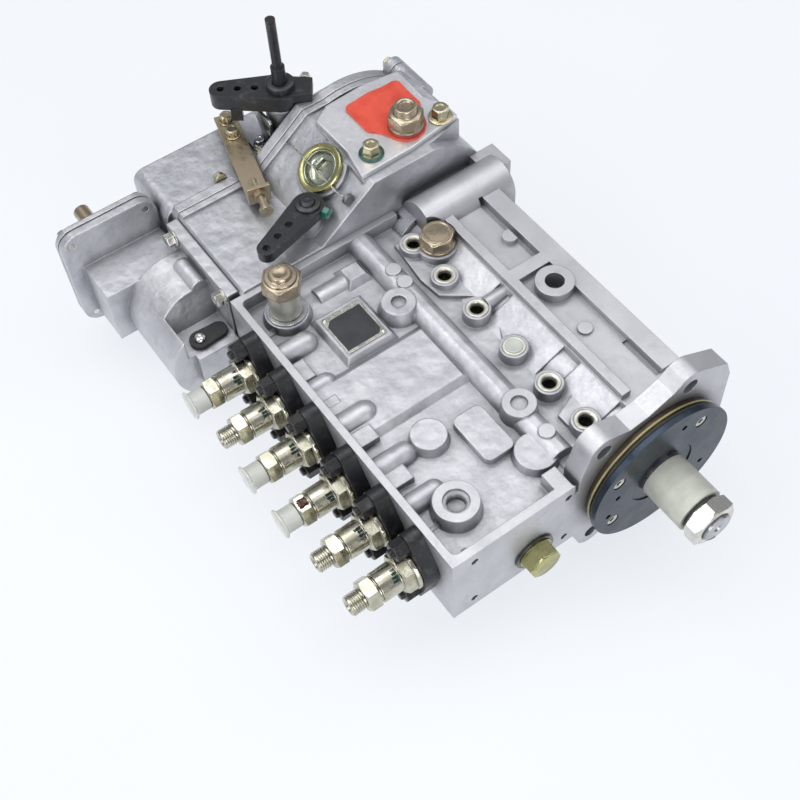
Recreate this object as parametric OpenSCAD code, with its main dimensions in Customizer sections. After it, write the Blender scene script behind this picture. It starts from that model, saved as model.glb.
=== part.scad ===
// Six-cylinder inline fuel injection pump with governor and boost compensator.
// X runs along the camshaft towards the drive end, Y from the delivery valves
// towards the base, Z up from the side that the pump lies on.
// The origin is where the camshaft axis meets the front face of the drive flange.

/* [Cylinders] */
// Pitch of the cylinders inside each bank of three
cyl_pitch = 35; // [34.5:0.1:35.3]
// Distance between the two middle cylinders
mid_pitch = 38.5; // [37:0.5:39]
// Distance from the flange face to the first cylinder
first_cyl = 28.9; // [28.5:0.1:29.5]
// Diameter of the barrel flanges where they enter the housing
bush_d = 26; // [25:0.5:27]
// Diameter of the plungers
plunger_d = 10; // [8:0.5:11]
// Diameter of the roller tappets
tappet_d = 30; // [29.6:0.1:30.4]

/* [Upper block] */
// Distance from the camshaft axis to the valve face
block_front = 151; // [149:1:153]
// Height of the upper face above the valve plane
block_top = 29.3; // [28.5:0.1:30]
// Depth of the lower face below the valve plane
block_bottom = 37; // [35:1:40]
// Length of the pump housing
block_len = 243; // [242.5:0.5:245]
// Width of the rim round the cast pocket
rim_w = 5; // [4:0.5:6]
// Depth of the cast pocket
pocket_depth = 11; // [8:0.5:12]

/* [Cam box] */
// Distance from the camshaft axis to the base face
base_y = 52; // [50:1:54]
// Half height of the cam box at its rails
cam_box_z = 36; // [35:0.5:38]
// Radius of the camshaft chamber
chamber_r = 24.5; // [24.2:0.1:25]
// Thickness of the base cover
base_cover_t = 5; // [4.5:0.5:6]

/* [Drive flange] */
// Thickness of the mounting flange
flange_t = 14; // [12:0.5:16]
// Radius of the flange bolt holes
flange_hole_r = 5.4; // [4.5:0.1:6]
// Place of the outer bolt holes along Y
outer_hole_y = 24; // [23:0.5:25]
// Height of the outer bolt holes
outer_hole_z = 57.5; // [57:0.5:59]
// Place of the inner bolt holes along Y
inner_hole_y = -41; // [-42:0.5:-40]
// Height of the inner bolt holes
inner_hole_z = 47.5; // [47:0.5:49]

/* [Bearing cover] */
// Diameter of the pilot that centres the pump
pilot_d = 107; // [106:0.5:108]
// Distance from the flange face to the outer face of the cover
cover_x = 12.2; // [12:0.1:13]
// Outer diameter of the camshaft bearings
bearing_d = 62; // [61:0.5:63]
// Width of the camshaft bearings
bearing_w = 16; // [14:0.5:17]

/* [Camshaft] */
// Radius of the cam base circle
cam_base_r = 14; // [13:0.5:14]
// Lift of the cams
cam_lift = 9; // [8:0.5:9.5]
// Radius of the shaft between the cams
shaft_r = 12; // [11:0.5:12.5]
// Diameter of the threaded shaft end
shaft_end_d = 20; // [18:0.5:21]
// Length that the shaft stands out of the flange face
shaft_out = 61.5; // [61:0.5:64]
// Diameter of the plastic sleeve on the drive cone
sleeve_d = 32.4; // [32.2:0.1:34]

/* [Delivery valves] */
// Height of the barrel flanges over the valve face
barrel_flange_h = 10.5; // [9:0.5:12]
// Width across flats of the valve holders
holder_af = 24; // [22:0.5:24.5]
// Diameter of the valve holder bodies
holder_d = 20; // [19:0.5:21]
// Width across flats of the upper hexagon of the holders
outlet_af = 19; // [18:0.5:20]
// Outer diameter of the outlet threads
outlet_thread_d = 14; // [13:0.5:15]

/* [Governor] */
// Length of the governor housing along the camshaft
gov_len = 85; // [84.5:0.5:86]
// Radius of the governor housing round the flyweights
gov_r = 66; // [65.5:0.5:67]
// Wall thickness of the governor castings
gov_wall = 7; // [6:0.5:7.5]
// Height of the upper face of the lid
lid_z = 68; // [67.5:0.1:68.5]
// Thickness of the governor lid
lid_t = 4; // [3.5:0.1:4.5]
// Depth of the governor cover
gov_cover_len = 56; // [55:0.5:58]
// Height of the low part of the governor castings
gov_low_z = 31; // [30.5:0.1:31.5]

/* [Compensator] */
// Distance from the camshaft axis to the compensator joint
comp_joint = 142.6; // [142.4:0.1:143]
// Reach of the compensator casting along minus Y
comp_reach = 58; // [56:0.5:60]
// Width of the diaphragm flange along Y
comp_flange_w = 73; // [71:0.5:75]
// Height of the diaphragm flange along Z
comp_flange_h = 86; // [84:1:88]

/* [Levers] */
// Length of the throttle lever between its pivot and its last hole
throttle_len = 45; // [42:1:50]
// Thickness of the throttle lever
lever_t = 7.5; // [6:0.5:8]
// Length of the stop lever
stop_len = 42; // [40:1:46]
// Diameter of the lever shafts
lever_shaft_d = 10; // [9:0.5:11]

/* [Clearances] */
// Radial clearance of running fits
run_clear = 0.05; // [0.03:0.01:0.08]
// Gap between separate parts that pass each other
part_gap = 0.3; // [0.2:0.05:0.4]

/* [Hidden] */

$fn = 48;
cut = 1;
// Seam between pieces that lie face to face in one node
seam = 0.04;

// Cylinder axes, the first next to the drive flange
cyl_x = [for (i = [0 : 5]) -(first_cyl + i * cyl_pitch + (i > 2 ? mid_pitch - cyl_pitch : 0))];
// Order in which the cylinders deliver, 60 degrees of cam angle apart
firing_order = [1, 5, 3, 6, 2, 4];
first_phase = 30;
tip_r = cam_base_r + cam_lift;
nose_r = 5;
cam_w = 15;
roller_r = 9;
// Places along minus Y of the roller tappets at full lift
roller_y = tip_r + roller_r + part_gap;
tappet_seat = roller_y + 14;
tappet_top = roller_y + 30;
// Places along minus Y of the spring shoulder, the barrels and the control sleeves
shoulder_y = 78.8;
bush_end = 97;
sleeve_y = 90;
plunger_top = block_front - 6;
flange_top = block_front + barrel_flange_h;
holder_seat = block_front + 6;
// Control rack below the plungers, seen from above
rack_z = 18;
rack_w = 8;
arm_r = 18;
// Studs of the barrel flanges
stud_r = 21.3;
stud_turn = -10;
// Bearings of the camshaft
seat_r = 15;
spigot_x = -12;
spigot_r = 42;
bearing_x = [spigot_x, -block_len];
// Floor of the cast pocket and of the trough where the ports stand
floor_z = block_top - pocket_depth;
trough_z = 19;
port_y = -25.6;
port_r = 5.8;
port_ring_r = 7.6;
ports_x = [for (x = cyl_x) x - 3.6];
// Frame of the governor castings
gov_x1 = -block_len;
seam_x = gov_x1 - gov_len;
gasket_t = 0.6;
seam_w = 5.5;
seam_grow = 2.5;
gov_x0 = seam_x - gov_cover_len;
pad_z = lid_z - lid_t;
slope_low = -78;
slope_high = -33;
lid_y0 = -60;
lid_y1 = 60;
slope_turn = atan2(pad_z - gov_low_z, slope_high - slope_low);
lid_bolts = [[-262.5, 36], [-263, -21]];
// Screw lug on the arc of the governor joint
lug_yz = [47, 56];
lug_r = 8;
lug_x0 = seam_x - gasket_t / 2;
filler_at = [-269, 12];
comp_y0 = -comp_joint - comp_reach;
comp_r = 38;
comp_top = 18;
comp_bottom = -36;
comp_mid_x = -313;
comp_flange_x = -352;
comp_flange_t = 6;
comp_mid = [-185, -2];
comp_bore = [-185, -13];
// Way between the governor and the compensator
way_at = [-297, -14];
way_r = 12;
// Levers
throttle_at = [-263.3, -73.7];
throttle_z = 46;
throttle_turn = -70;
stop_at = [-350, -37];
stop_z = 62;
stop_turn = -125;
// Linkage of the governor
fulcrum_x = -310;
fulcrum_y = -40;
link_pin_r = 3;
bolt_y = 0;
rack_end_x = fulcrum_x - 6;
// Fittings of the upper face
inlet_at = [-34.2, -122.8];
union_at = [-217, -124];
plug_at = [-201, -13];
plug_seat = 28.9;
base_screw_x = [for (i = [0 : 6]) -199 + i * 28.5];
base_screw_z = 16;
// Recess of the base cover, a little larger than the cover
base_lo = [-205.5, -21];
base_hi = [-20, 21];

// Cylinders along the three axes
module xcyl(r, x0, x1, y = 0, z = 0) {
    translate([x0, y, z]) rotate([0, 90, 0]) cylinder(r = r, h = x1 - x0);
}
module ycyl(r, y0, y1, x = 0, z = 0) {
    translate([x, y0, z]) rotate([-90, 0, 0]) cylinder(r = r, h = y1 - y0);
}
module zcyl(r, z0, z1, x = 0, y = 0) {
    translate([x, y, z0]) cylinder(r = r, h = z1 - z0);
}
// Block between two corners
module block(a, b) {
    translate(a) cube([b[0] - a[0], b[1] - a[1], b[2] - a[2]]);
}
// Hexagonal prisms by their width across flats
module hex(af, h) {
    cylinder(r = af / sqrt(3), h = h, $fn = 6);
}
module xhex(af, x0, x1, y = 0, z = 0, turn = 0) {
    translate([x0, y, z]) rotate([0, 90, 0]) rotate([0, 0, turn]) hex(af, x1 - x0);
}
module yhex(af, y0, y1, x = 0, z = 0, turn = 0) {
    translate([x, y0, z]) rotate([-90, 0, 0]) rotate([0, 0, turn]) hex(af, y1 - y0);
}
module zhex(af, z0, z1, x = 0, y = 0, turn = 0) {
    translate([x, y, z0]) rotate([0, 0, turn]) hex(af, z1 - z0);
}
// Flat rectangle with round corners
module rrect(x0, x1, y0, y1, r) {
    translate([x0 + r, y0]) square([x1 - x0 - 2 * r, y1 - y0]);
    translate([x0, y0 + r]) square([x1 - x0, y1 - y0 - 2 * r]);
    for (x = [x0 + r, x1 - r], y = [y0 + r, y1 - r]) {
        translate([x, y]) circle(r = r);
    }
}
// Pad with round corners, standing on the XY plane
module pad(x0, x1, y0, y1, z0, z1, r) {
    translate([0, 0, z0]) linear_extrude(z1 - z0) rrect(x0, x1, y0, y1, r);
}
// Flat bar with round ends of two radii, the first end the larger
module bar2d(p, r, q, s) {
    turn = atan2(q[1] - p[1], q[0] - p[0]);
    lean = acos((r - s) / norm(q - p));
    a = turn + lean;
    b = turn - lean;
    k = r - 0.01;
    m = s - 0.01;
    translate(p) circle(r = r);
    translate(q) circle(r = s);
    polygon([p + k * [cos(a), sin(a)], q + m * [cos(a), sin(a)],
        q + m * [cos(b), sin(b)], p + k * [cos(b), sin(b)]]);
}
// Flat YZ outline pulled along X; its first axis is Y and its second Z
module pull_x(x0, x1) {
    translate([x0, 0, 0]) rotate([90, 0, 90]) linear_extrude(x1 - x0) children();
}
// Flat XZ outline pulled along Y
module pull_y(y0, y1) {
    translate([0, y1, 0]) rotate([90, 0, 0]) linear_extrude(y1 - y0) children();
}
module each_cylinder() {
    for (x = cyl_x) translate([x, 0, 0]) children();
}
module each_stud() {
    for (turn = [stud_turn, stud_turn + 180]) {
        rotate([0, turn, 0]) translate([0, 0, stud_r]) children();
    }
}

// Outline of the drive flange in YZ, the same above and below the axis
module flange_half(s) {
    translate([outer_hole_y, s * outer_hole_z]) circle(r = 12.5);
    translate([inner_hole_y, s * inner_hole_z]) circle(r = 11.5);
    polygon([[-58, 0], [-58, s * 30], [-52, s * 50], [-44, s * 58.6], [-38, s * 58.6],
        [-22, s * 53], [-8, s * 55], [10, s * 62], [18, s * 68.5], [30, s * 68.5],
        [54, s * 55.5], [59, s * 42], [59, 0]]);
}
module flange_holes() {
    for (s = [-1, 1]) {
        xcyl(flange_hole_r, -flange_t - cut, cut, outer_hole_y, s * outer_hole_z);
        xcyl(flange_hole_r, -flange_t - cut, cut, inner_hole_y, s * inner_hole_z);
    }
}
// Round boss of the upper face, its foot wider than its turned top
module top_boss(x, y, r, z1, foot = 3) {
    translate([x, y, floor_z - 2]) cylinder(r1 = r + foot, r2 = r, h = z1 - floor_z + 2);
}
// Pillar that runs from the front rim into the pocket and ends round
module pillar(x, w, y1, z1) {
    r = w / 2;
    ycyl(r, -block_front + 2, y1 - r, x, z1 - r);
    translate([x, y1 - r, z1 - r]) sphere(r = r);
    block([x - r, -block_front + 2, floor_z - 3], [x + r, y1 - r, z1 - r]);
    zcyl(r, floor_z - 3, z1 - r, x, y1 - r);
}
module upper_block() {
    difference() {
        block([-block_len, -block_front, -block_bottom], [0, -20, block_top]);
        // Cast pocket of the upper face and trough of the ports
        pad(-block_len + rim_w, -rim_w - 1, -block_front + rim_w, -54, floor_z, block_top + cut, 4);
        pad(-block_len + rim_w, cut, -62, 30, trough_z, block_top + cut, 4);
        // Cast pockets of the lower face
        for (i = [0 : 2]) {
            pad(-232 + i * 76, -168 + i * 76, -142, -104, -block_bottom - cut, -block_bottom + 7, 6);
        }
    }
    // Gallery along the block, flat on top
    intersection() {
        xcyl(9.5, -block_len + 2, -24, -51, 19);
        block([-block_len, -61, 10], [0, -41, 28.2]);
    }
}
// Pillars of the upper face: place, width, end along Y and height
pillars = [[-191, 16, -119, 27.5], [-158, 14, -126, 24], [-123, 17, -119, 27.5],
    [-84, 16, -117, 27.5], [-52, 14, -119, 27.5]];
// Round bosses of the upper face: X, Y, radius, height and spread of the foot
bosses = [[-176, -63, 11.5, 29, 3.5], [-65.9, -50.6, 10.8, 30.1, 1.5],
    [inlet_at[0], inlet_at[1], 14.2, 29.6, 2], [-35, -62, 13.5, 25, 2],
    [-83, -107, 11.5, 26.5, 2], [union_at[0], union_at[1], 15, 25, 2],
    [-200, -50, 5.2, 29.5, 1], [-187, -50, 5.2, 29.5, 1], [-40, -50, 5.2, 30, 1]];
// Field with sloping sides, its size taken at the foot
module mound(x0, x1, y0, y1, z1, lean) {
    hull() {
        block([x0, y0, floor_z - 1], [x1, y1, floor_z]);
        block([x0 + lean, y0 + lean, z1 - 1], [x1 - lean, y1 - lean, z1]);
    }
}
module upper_features() {
    for (p = pillars) pillar(p[0], p[1], p[2], p[3]);
    for (b = bosses) top_boss(b[0], b[1], b[2], b[3], b[4]);
    // Steps between the pillars at the front rim
    for (x = [-107, -71]) block([x - 6, -147, floor_z - 1], [x + 6, -131, floor_z + 5.5]);
    block([-180, -147, floor_z - 1], [-164, -136, floor_z + 4]);
    // Raised fields over the middle barrels and under the plate
    mound(-158, -103, -149, -57, floor_z + 4, 5);
    mound(-203, -158, -116, -76, floor_z + 5, 3);
    // Pads
    pad(-84, -46, -90, -68, floor_z - 1, floor_z + 6, 5);
    mound(-229, -209, -80, -60, floor_z + 5.5, 4);
    ycyl(8, -100, -76, -219, floor_z - 4);
    block([-18, -72, floor_z - 1], [-rim_w, -62, block_top]);
}
module port_slope(x0, x1) {
    pull_x(x0, x1) polygon([[-25, 12], [-25, trough_z], [-1, 30.5], [-1, 12]]);
}
module port_field() {
    for (x = ports_x) zcyl(9.4, 12, 28.2, x, port_y);
    port_slope(-217, -147);
    port_slope(-134, -82);
    port_slope(-66, -29);
    // Raised fields that run from the ports to the cam box
    translate([0, 0, 12]) linear_extrude(10.5)
        polygon([[-218, 2], [-150, 2], [-150, -14], [-168, -36], [-186, -38], [-222, -34]]);
    pad(-147, -137, -22, 2, 12, 24, 2);
    ycyl(5, -18, 2, -142, 25.5);
    translate([0, 0, 12]) linear_extrude(9.5)
        polygon([[-132, 2], [-108, 2], [-98, -20], [-116, -24], [-128, -18]]);
    translate([0, 0, 12]) linear_extrude(10.5)
        polygon([[-60, 2], [-16, 2], [-16, -34], [-48, -34], [-56, -14]]);
    zcyl(14.5, 12, plug_seat, plug_at[0], plug_at[1]);
}
module cam_box() {
    z = cam_box_z;
    difference() {
        union() {
            pull_x(-block_len, -flange_t + 1) {
                polygon([[-30, -z - 1], [-1, -z - 10], [40, -z - 8], [base_y, -24], [base_y, 22],
                    [46, z - 5], [-1, z - 5], [-6, trough_z], [-30, trough_z]]);
            }
            // Rails
            block([-217, -0.5, 20], [-29, 6.4, z]);
            pull_x(-217, -29) {
                polygon([[32, 20], [base_y, 20], [base_y, 24], [46, z], [32, z]]);
            }
            block([-148, 6, 20], [-138, 33, z]);
            // Upright boss of the governor end with its lug
            ycyl(18, -12, 58, -224, 26);
            block([-block_len, -12, 0], [-206, 58, 26]);
            block([-block_len, 46, 0], [-222, 66, 40]);
            // Rounding over the camshaft beside the trough
            xcyl(chamber_r + 2.5, -block_len + rim_w, -20);
            // Round bosses
            zcyl(13, 20, 38.5, -122, 23);
            zcyl(5, 20, 33, -84, 17);
            zcyl(5.5, 20, 35.5, -172, 26);
        }
        // Grooves beside the outer rail
        block([-217, 28.5, z - 6.5], [-150, 32, z + cut]);
        block([-62, 28.5, z - 6.5], [-30, 32, z + cut]);
    }
}
module housing_bores() {
    each_cylinder() {
        ycyl(bush_d / 2, -block_front - cut, -bush_end);
        ycyl(12, -bush_end - cut, -shoulder_y + cut);
        ycyl(tappet_d / 2 + run_clear, -shoulder_y, 0);
        each_stud() ycyl(3.2, -block_front - cut, -block_front + 16);
    }
    // Camshaft chamber, bearing seats and opening to the base
    xcyl(chamber_r, -block_len + bearing_w, spigot_x + cut);
    xcyl(bearing_d / 2, -block_len - cut, -block_len + bearing_w);
    xcyl(spigot_r, spigot_x, cut);
    block([-194, 0, -11], [-34, base_y + cut, 11]);
    // Passage of the control rack, with the thread of its plug
    block([-block_len - cut, -sleeve_y - rack_w / 2 - part_gap, -rack_z - 4.8],
        [spigot_x + cut, -sleeve_y + rack_w / 2 + part_gap, -7.5]);
    xcyl(9, spigot_x, cut, -sleeve_y, -rack_z);
    block([base_lo[0] - part_gap, base_y - base_cover_t, base_lo[1] - part_gap],
        [base_hi[0] + part_gap, base_y + cut, base_hi[1] + part_gap]);
    for (x = base_screw_x, s = [-1, 1]) ycyl(3, base_y - 15, base_y, x, s * base_screw_z);
}
module top_holes() {
    for (x = ports_x) {
        zcyl(port_r, 17, 40, x, port_y);
        zcyl(port_ring_r, 25.2, 40, x, port_y);
    }
    zcyl(6.5, 15, 45, inlet_at[0], inlet_at[1]);
    zcyl(8.3, 27.5, 45, inlet_at[0], inlet_at[1]);
    zcyl(5.5, 27.6, 45, -65.9, -50.6);
    zcyl(5, 26, 45, -176, -63);
    zcyl(6.5, 24, 45, -122, 23);
    zcyl(8, chamber_r - 4.5, 40, plug_at[0], plug_at[1]);
    zcyl(13.4, plug_seat, 45, plug_at[0], plug_at[1]);
    zcyl(7, 14.5, 40, union_at[0], union_at[1]);
    for (y = [-135.1, -65.2], z = [19.9, -28.1]) xcyl(2.5, -11, cut, y, z);
    flange_holes();
}
module pump_housing() {
    color("#c6c8cf") difference() {
        union() {
            upper_block();
            upper_features();
            port_field();
            cam_box();
            for (s = [-1, 1]) pull_x(-flange_t, 0) flange_half(s);
        }
        housing_bores();
        top_holes();
    }
}

module base_cover() {
    color("#c3c5cc") difference() {
        block([base_lo[0], base_y - base_cover_t, base_lo[1]], [base_hi[0], base_y, base_hi[1]]);
        for (x = base_screw_x, s = [-1, 1]) {
            ycyl(3.1, base_y - base_cover_t - cut, base_y + cut, x, s * base_screw_z);
            ycyl(5, base_y - 3, base_y + cut, x, s * base_screw_z);
        }
    }
}
// Screw with a wide flange under its hexagon, along +Z
module flange_bolt(af, flange_r, head_h, shank_r, shank_len) {
    cylinder(r = flange_r, h = 1.6);
    translate([0, 0, 1.6]) hex(af, head_h - 1.6);
    translate([0, 0, -shank_len]) cylinder(r = shank_r, h = shank_len);
}
module casing_screws() {
    color("#a8946a") {
        for (p = lid_bolts) translate([p[0], p[1], lid_z]) flange_bolt(10.5, 8.6, 9, 2.9, 12);
        translate([lug_x0 - 7.7, lug_yz[0], lug_yz[1]]) rotate([0, -90, 0]) flange_bolt(8, 5.5, 6, 2.4, 12);
        // Flat socket screws of the base cover
        for (x = base_screw_x, s = [-1, 1]) difference() {
            union() {
                ycyl(2.9, base_y - 13, base_y - 2.5, x, s * base_screw_z);
                ycyl(4.8, base_y - 3, base_y - 0.4, x, s * base_screw_z);
            }
            yhex(4, base_y - 2.2, base_y, x, s * base_screw_z);
        }
    }
}

// Barrel flange: bush in the block under a flat head with two ears
module barrel_flanges() {
    color("#26282b") each_cylinder() difference() {
        union() {
            ycyl(bush_d / 2 - run_clear, -block_front - 2, -bush_end);
            rotate([0, stud_turn, 0]) pull_y(-flange_top, -block_front) {
                bar2d([0, 0], 16.5, [0, stud_r], 7.2);
                bar2d([0, 0], 16.5, [0, -stud_r], 7.2);
            }
        }
        ycyl(9.5, -flange_top - cut, -bush_end + cut);
        each_stud() ycyl(4, -flange_top - cut, -block_front + cut);
    }
}
module plunger_barrels() {
    color("#9a9da3") each_cylinder() difference() {
        ycyl(9.45, -plunger_top - 2, -bush_end - 0.5);
        ycyl(plunger_d / 2 + run_clear, -block_front, -bush_end + cut);
    }
}
module delivery_valves() {
    color("#a9abb0") each_cylinder() {
        ycyl(9.4, -holder_seat + 0.8, -plunger_top - 2);
        ycyl(3.9, -holder_seat - 16, -holder_seat + 0.8);
    }
    color("#b5713f") each_cylinder() difference() {
        ycyl(9.4, -holder_seat, -holder_seat + 0.8 - seam);
        ycyl(3.9 + seam, -holder_seat - cut, -holder_seat + cut);
    }
}
module valve_holder() {
    top = flange_top;
    difference() {
        union() {
            ycyl(9.45, -top, -holder_seat);
            ycyl(14.5, -top - 3.2, -top);
            yhex(holder_af, -top - 10.5, -top - 3.2, 0, 0, 15);
            ycyl(holder_d / 2, -top - 23.5, -top - 10.5);
            ycyl(holder_d / 2 - 1.4, -top - 25.5, -top - 23.5);
            yhex(outlet_af, -top - 34.5, -top - 25.5, 0, 0, 5);
            ycyl(outlet_thread_d / 2, -top - 44.5, -top - 34.5);
        }
        ycyl(4.2, -top - 20, -block_front);
        ycyl(1.5, -top - 46, -top - 19);
        translate([0, -top - 44.6, 0]) rotate([-90, 0, 0]) cylinder(r1 = 4.4, r2 = 1.4, h = 3.4);
    }
}
module valve_holders() {
    color("#a8a48e") each_cylinder() valve_holder();
}
module flange_nuts() {
    color("#1f2022") each_cylinder() each_stud() {
        ycyl(3.2, -flange_top - 11.5, -block_front + 15);
        difference() {
            yhex(11.5, -flange_top - 9, -flange_top);
            ycyl(3.25, -flange_top - 12, -flange_top + cut);
        }
    }
}
// Cap with a pulling rim on an outlet thread
module outlet_cap() {
    top = flange_top + 44.5;
    difference() {
        union() {
            ycyl(8, -top - 1.5, -top + 9.6);
            ycyl(10, -top - 2.5, -top - 1);
        }
        ycyl(outlet_thread_d / 2, -top, -top + 10);
    }
}
module transport_caps() {
    color("#cfd2c4", 0.6) {
        for (i = [2, 3, 5]) translate([cyl_x[i], 0, 0]) outlet_cap();
        zcyl(port_r, 19, 29.2, ports_x[2], port_y);
    }
}
// Coil spring round a Y axis
module coil_spring(r, wire, y0, y1, turns) {
    steps = 10;
    sides = 6;
    rings = turns * steps;
    pts = [for (i = [0 : rings], k = [0 : sides - 1])
        let (a = i * 360 / steps, b = k * 360 / sides, q = r + wire / 2 * cos(b))
        [q * cos(a), y0 + (y1 - y0) * i / rings + wire / 2 * sin(b), q * sin(a)]];
    faces = [for (i = [0 : rings - 1], k = [0 : sides - 1])
        let (a = i * sides + k, b = i * sides + (k + 1) % sides)
        [a, a + sides, b + sides, b]];
    caps = [[for (k = [0 : sides - 1]) k], [for (k = [sides - 1 : -1 : 0]) rings * sides + k]];
    polyhedron(pts, concat(faces, caps), convexity = 6);
}
module plunger_springs() {
    wire = 2.6;
    color("#6f7276") each_cylinder() {
        coil_spring(9.2, wire, -shoulder_y + 2.2 + wire / 2, -tappet_seat - wire / 2 - 0.1, 4);
        // Upper spring seat
        difference() {
            ycyl(tappet_d / 2 - 0.1, -shoulder_y, -shoulder_y + 2);
            ycyl(6.6, -shoulder_y - cut, -shoulder_y + 3);
        }
    }
}
// Roller tappet with its pin and plunger, at full lift
module tappet(i) {
    translate([cyl_x[i], 0, 0]) {
        color("#8d9197") difference() {
            ycyl(tappet_d / 2, -tappet_top, -roller_y + 3);
            ycyl(tappet_d / 2 - 2.5, -tappet_top - cut, -tappet_seat);
            block([-8.5, -roller_y - 10, -tappet_d], [8.5, 0, tappet_d]);
            xcyl(4 + seam, -tappet_d, tappet_d, -roller_y);
        }
        color("#a7aab0") difference() {
            xcyl(roller_r, -7, 7, -roller_y);
            xcyl(4 + run_clear, -8, 8, -roller_y);
        }
        color("#9a9da2") xcyl(4, -13.5, 13.5, -roller_y);
        color("#b4b7bc") {
            ycyl(plunger_d / 2, -plunger_top, -tappet_seat - seam);
            ycyl(6.4, -tappet_seat - 3, -tappet_seat - seam);
        }
    }
}
module tappet_1() { tappet(0); }
module tappet_2() { tappet(1); }
module tappet_3() { tappet(2); }
module tappet_4() { tappet(3); }
module tappet_5() { tappet(4); }
module tappet_6() { tappet(5); }

// Control sleeve with the ball arm that the rack carries
module control_sleeve(i) {
    color("#7d8187") translate([cyl_x[i], 0, 0]) difference() {
        union() {
            ycyl(10, -bush_end + part_gap, -sleeve_y + 6);
            zcyl(1.8, -arm_r, -8, 0, -sleeve_y);
            translate([0, -sleeve_y, -arm_r]) sphere(r = 3);
        }
        ycyl(plunger_d / 2 + 0.4, -bush_end - cut, -sleeve_y + 7);
    }
}
module control_sleeve_1() { control_sleeve(0); }
module control_sleeve_2() { control_sleeve(1); }
module control_sleeve_3() { control_sleeve(2); }
module control_sleeve_4() { control_sleeve(3); }
module control_sleeve_5() { control_sleeve(4); }
module control_sleeve_6() { control_sleeve(5); }

module control_rack() {
    y0 = -sleeve_y - rack_w / 2;
    y1 = -sleeve_y + rack_w / 2;
    color("#8a8d92") difference() {
        union() {
            block([rack_end_x, y0, -rack_z - 4.5], [-26, y1, -rack_z + 3]);
            // Fork that takes the fulcrum lever
            block([rack_end_x, y0, -rack_z], [rack_end_x + 12, y1, 5]);
        }
        each_cylinder() block([-3.4, y0 - cut, -rack_z - 3.6], [3.4, y1 + cut, 0]);
        block([fulcrum_x - link_pin_r - 0.25, y0 - cut, -8], [fulcrum_x + link_pin_r + 0.25, y1 + cut, 6]);
    }
}
// Screw plugs of the rack passage and of the gallery, each on its washer
module screw_plugs() {
    color("#b5b06a") {
        xcyl(8.95, spigot_x + 3, 2, -sleeve_y, -rack_z);
        xhex(21, 2, 13, -sleeve_y, -rack_z, 20);
    }
    color("#23261f") difference() {
        xcyl(14.2, 0, 2 - seam, -sleeve_y, -rack_z);
        xcyl(9, -cut, 3, -sleeve_y, -rack_z);
    }
    color("#8f8468") translate([plug_at[0], plug_at[1], 0]) {
        zcyl(7.95, chamber_r, plug_seat + 2);
        zcyl(12.5, plug_seat, plug_seat + 2);
        zhex(22, plug_seat + 2, plug_seat + 10, 0, 0, 10);
        zcyl(10, plug_seat + 10, plug_seat + 10.8);
    }
}

// One cam, its nose turned by an angle from the tappet side
module cam(angle) {
    rotate([-angle, 0, 0]) pull_x(-cam_w / 2, cam_w / 2)
        bar2d([0, 0], cam_base_r, [-(tip_r - nose_r), 0], nose_r);
}
module camshaft() {
    color("#7c8086") difference() {
        union() {
            xcyl(shaft_r, -block_len, spigot_x);
            xcyl(12, -block_len - 42, -block_len);
            xcyl(seat_r, -block_len, -block_len + bearing_w + 1);
            xcyl(seat_r, spigot_x - 1, 13);
            translate([13, 0, 0]) rotate([0, 90, 0]) cylinder(r1 = seat_r, r2 = 11.5, h = 33);
            xcyl(shaft_end_d / 2, 45, shaft_out);
            for (i = [0 : 5]) translate([cyl_x[i], 0, 0])
                cam(first_phase + 60 * search(i + 1, firing_order)[0]);
        }
        translate([shaft_out + 0.1, 0, 0]) rotate([0, -90, 0]) cylinder(r1 = 3, r2 = 0.6, h = 4);
    }
}
module bearing_cups() {
    color("#9b9ea3") for (x = bearing_x) difference() {
        xcyl(bearing_d / 2, x, x + bearing_w);
        xcyl(bearing_d / 2 - 5, x - cut, x + bearing_w + cut);
    }
}
module bearing_cones() {
    // Rollers between the cone and the cup, a little clear of both
    roller = (bearing_d / 2 - 5 - 19) / 2 - 0.1;
    color("#8f9298") for (x = bearing_x) {
        difference() {
            xcyl(19, x, x + bearing_w);
            xcyl(seat_r, x - cut, x + bearing_w + cut);
        }
        for (a = [0 : 24 : 336]) rotate([a, 0, 0]) xcyl(roller, x + 2, x + bearing_w - 2, 0, 19.1 + roller);
    }
}
// Lip seal of the shaft and the two seals of the pilot
module pump_seals() {
    color("#2b2b2c") difference() {
        xcyl(24, 5, 11.5);
        xcyl(seat_r + run_clear, 4, 12);
    }
    color("#17181a") translate([7.2, 0, 0]) rotate([0, 90, 0])
        rotate_extrude() translate([pilot_d / 2 - 1.95, 0]) circle(r = 1.2);
    color("#a9a888") translate([4, 0, 0]) rotate([0, 90, 0])
        rotate_extrude() translate([pilot_d / 2 - 2.2, 0]) circle(r = 0.8);
}
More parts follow.
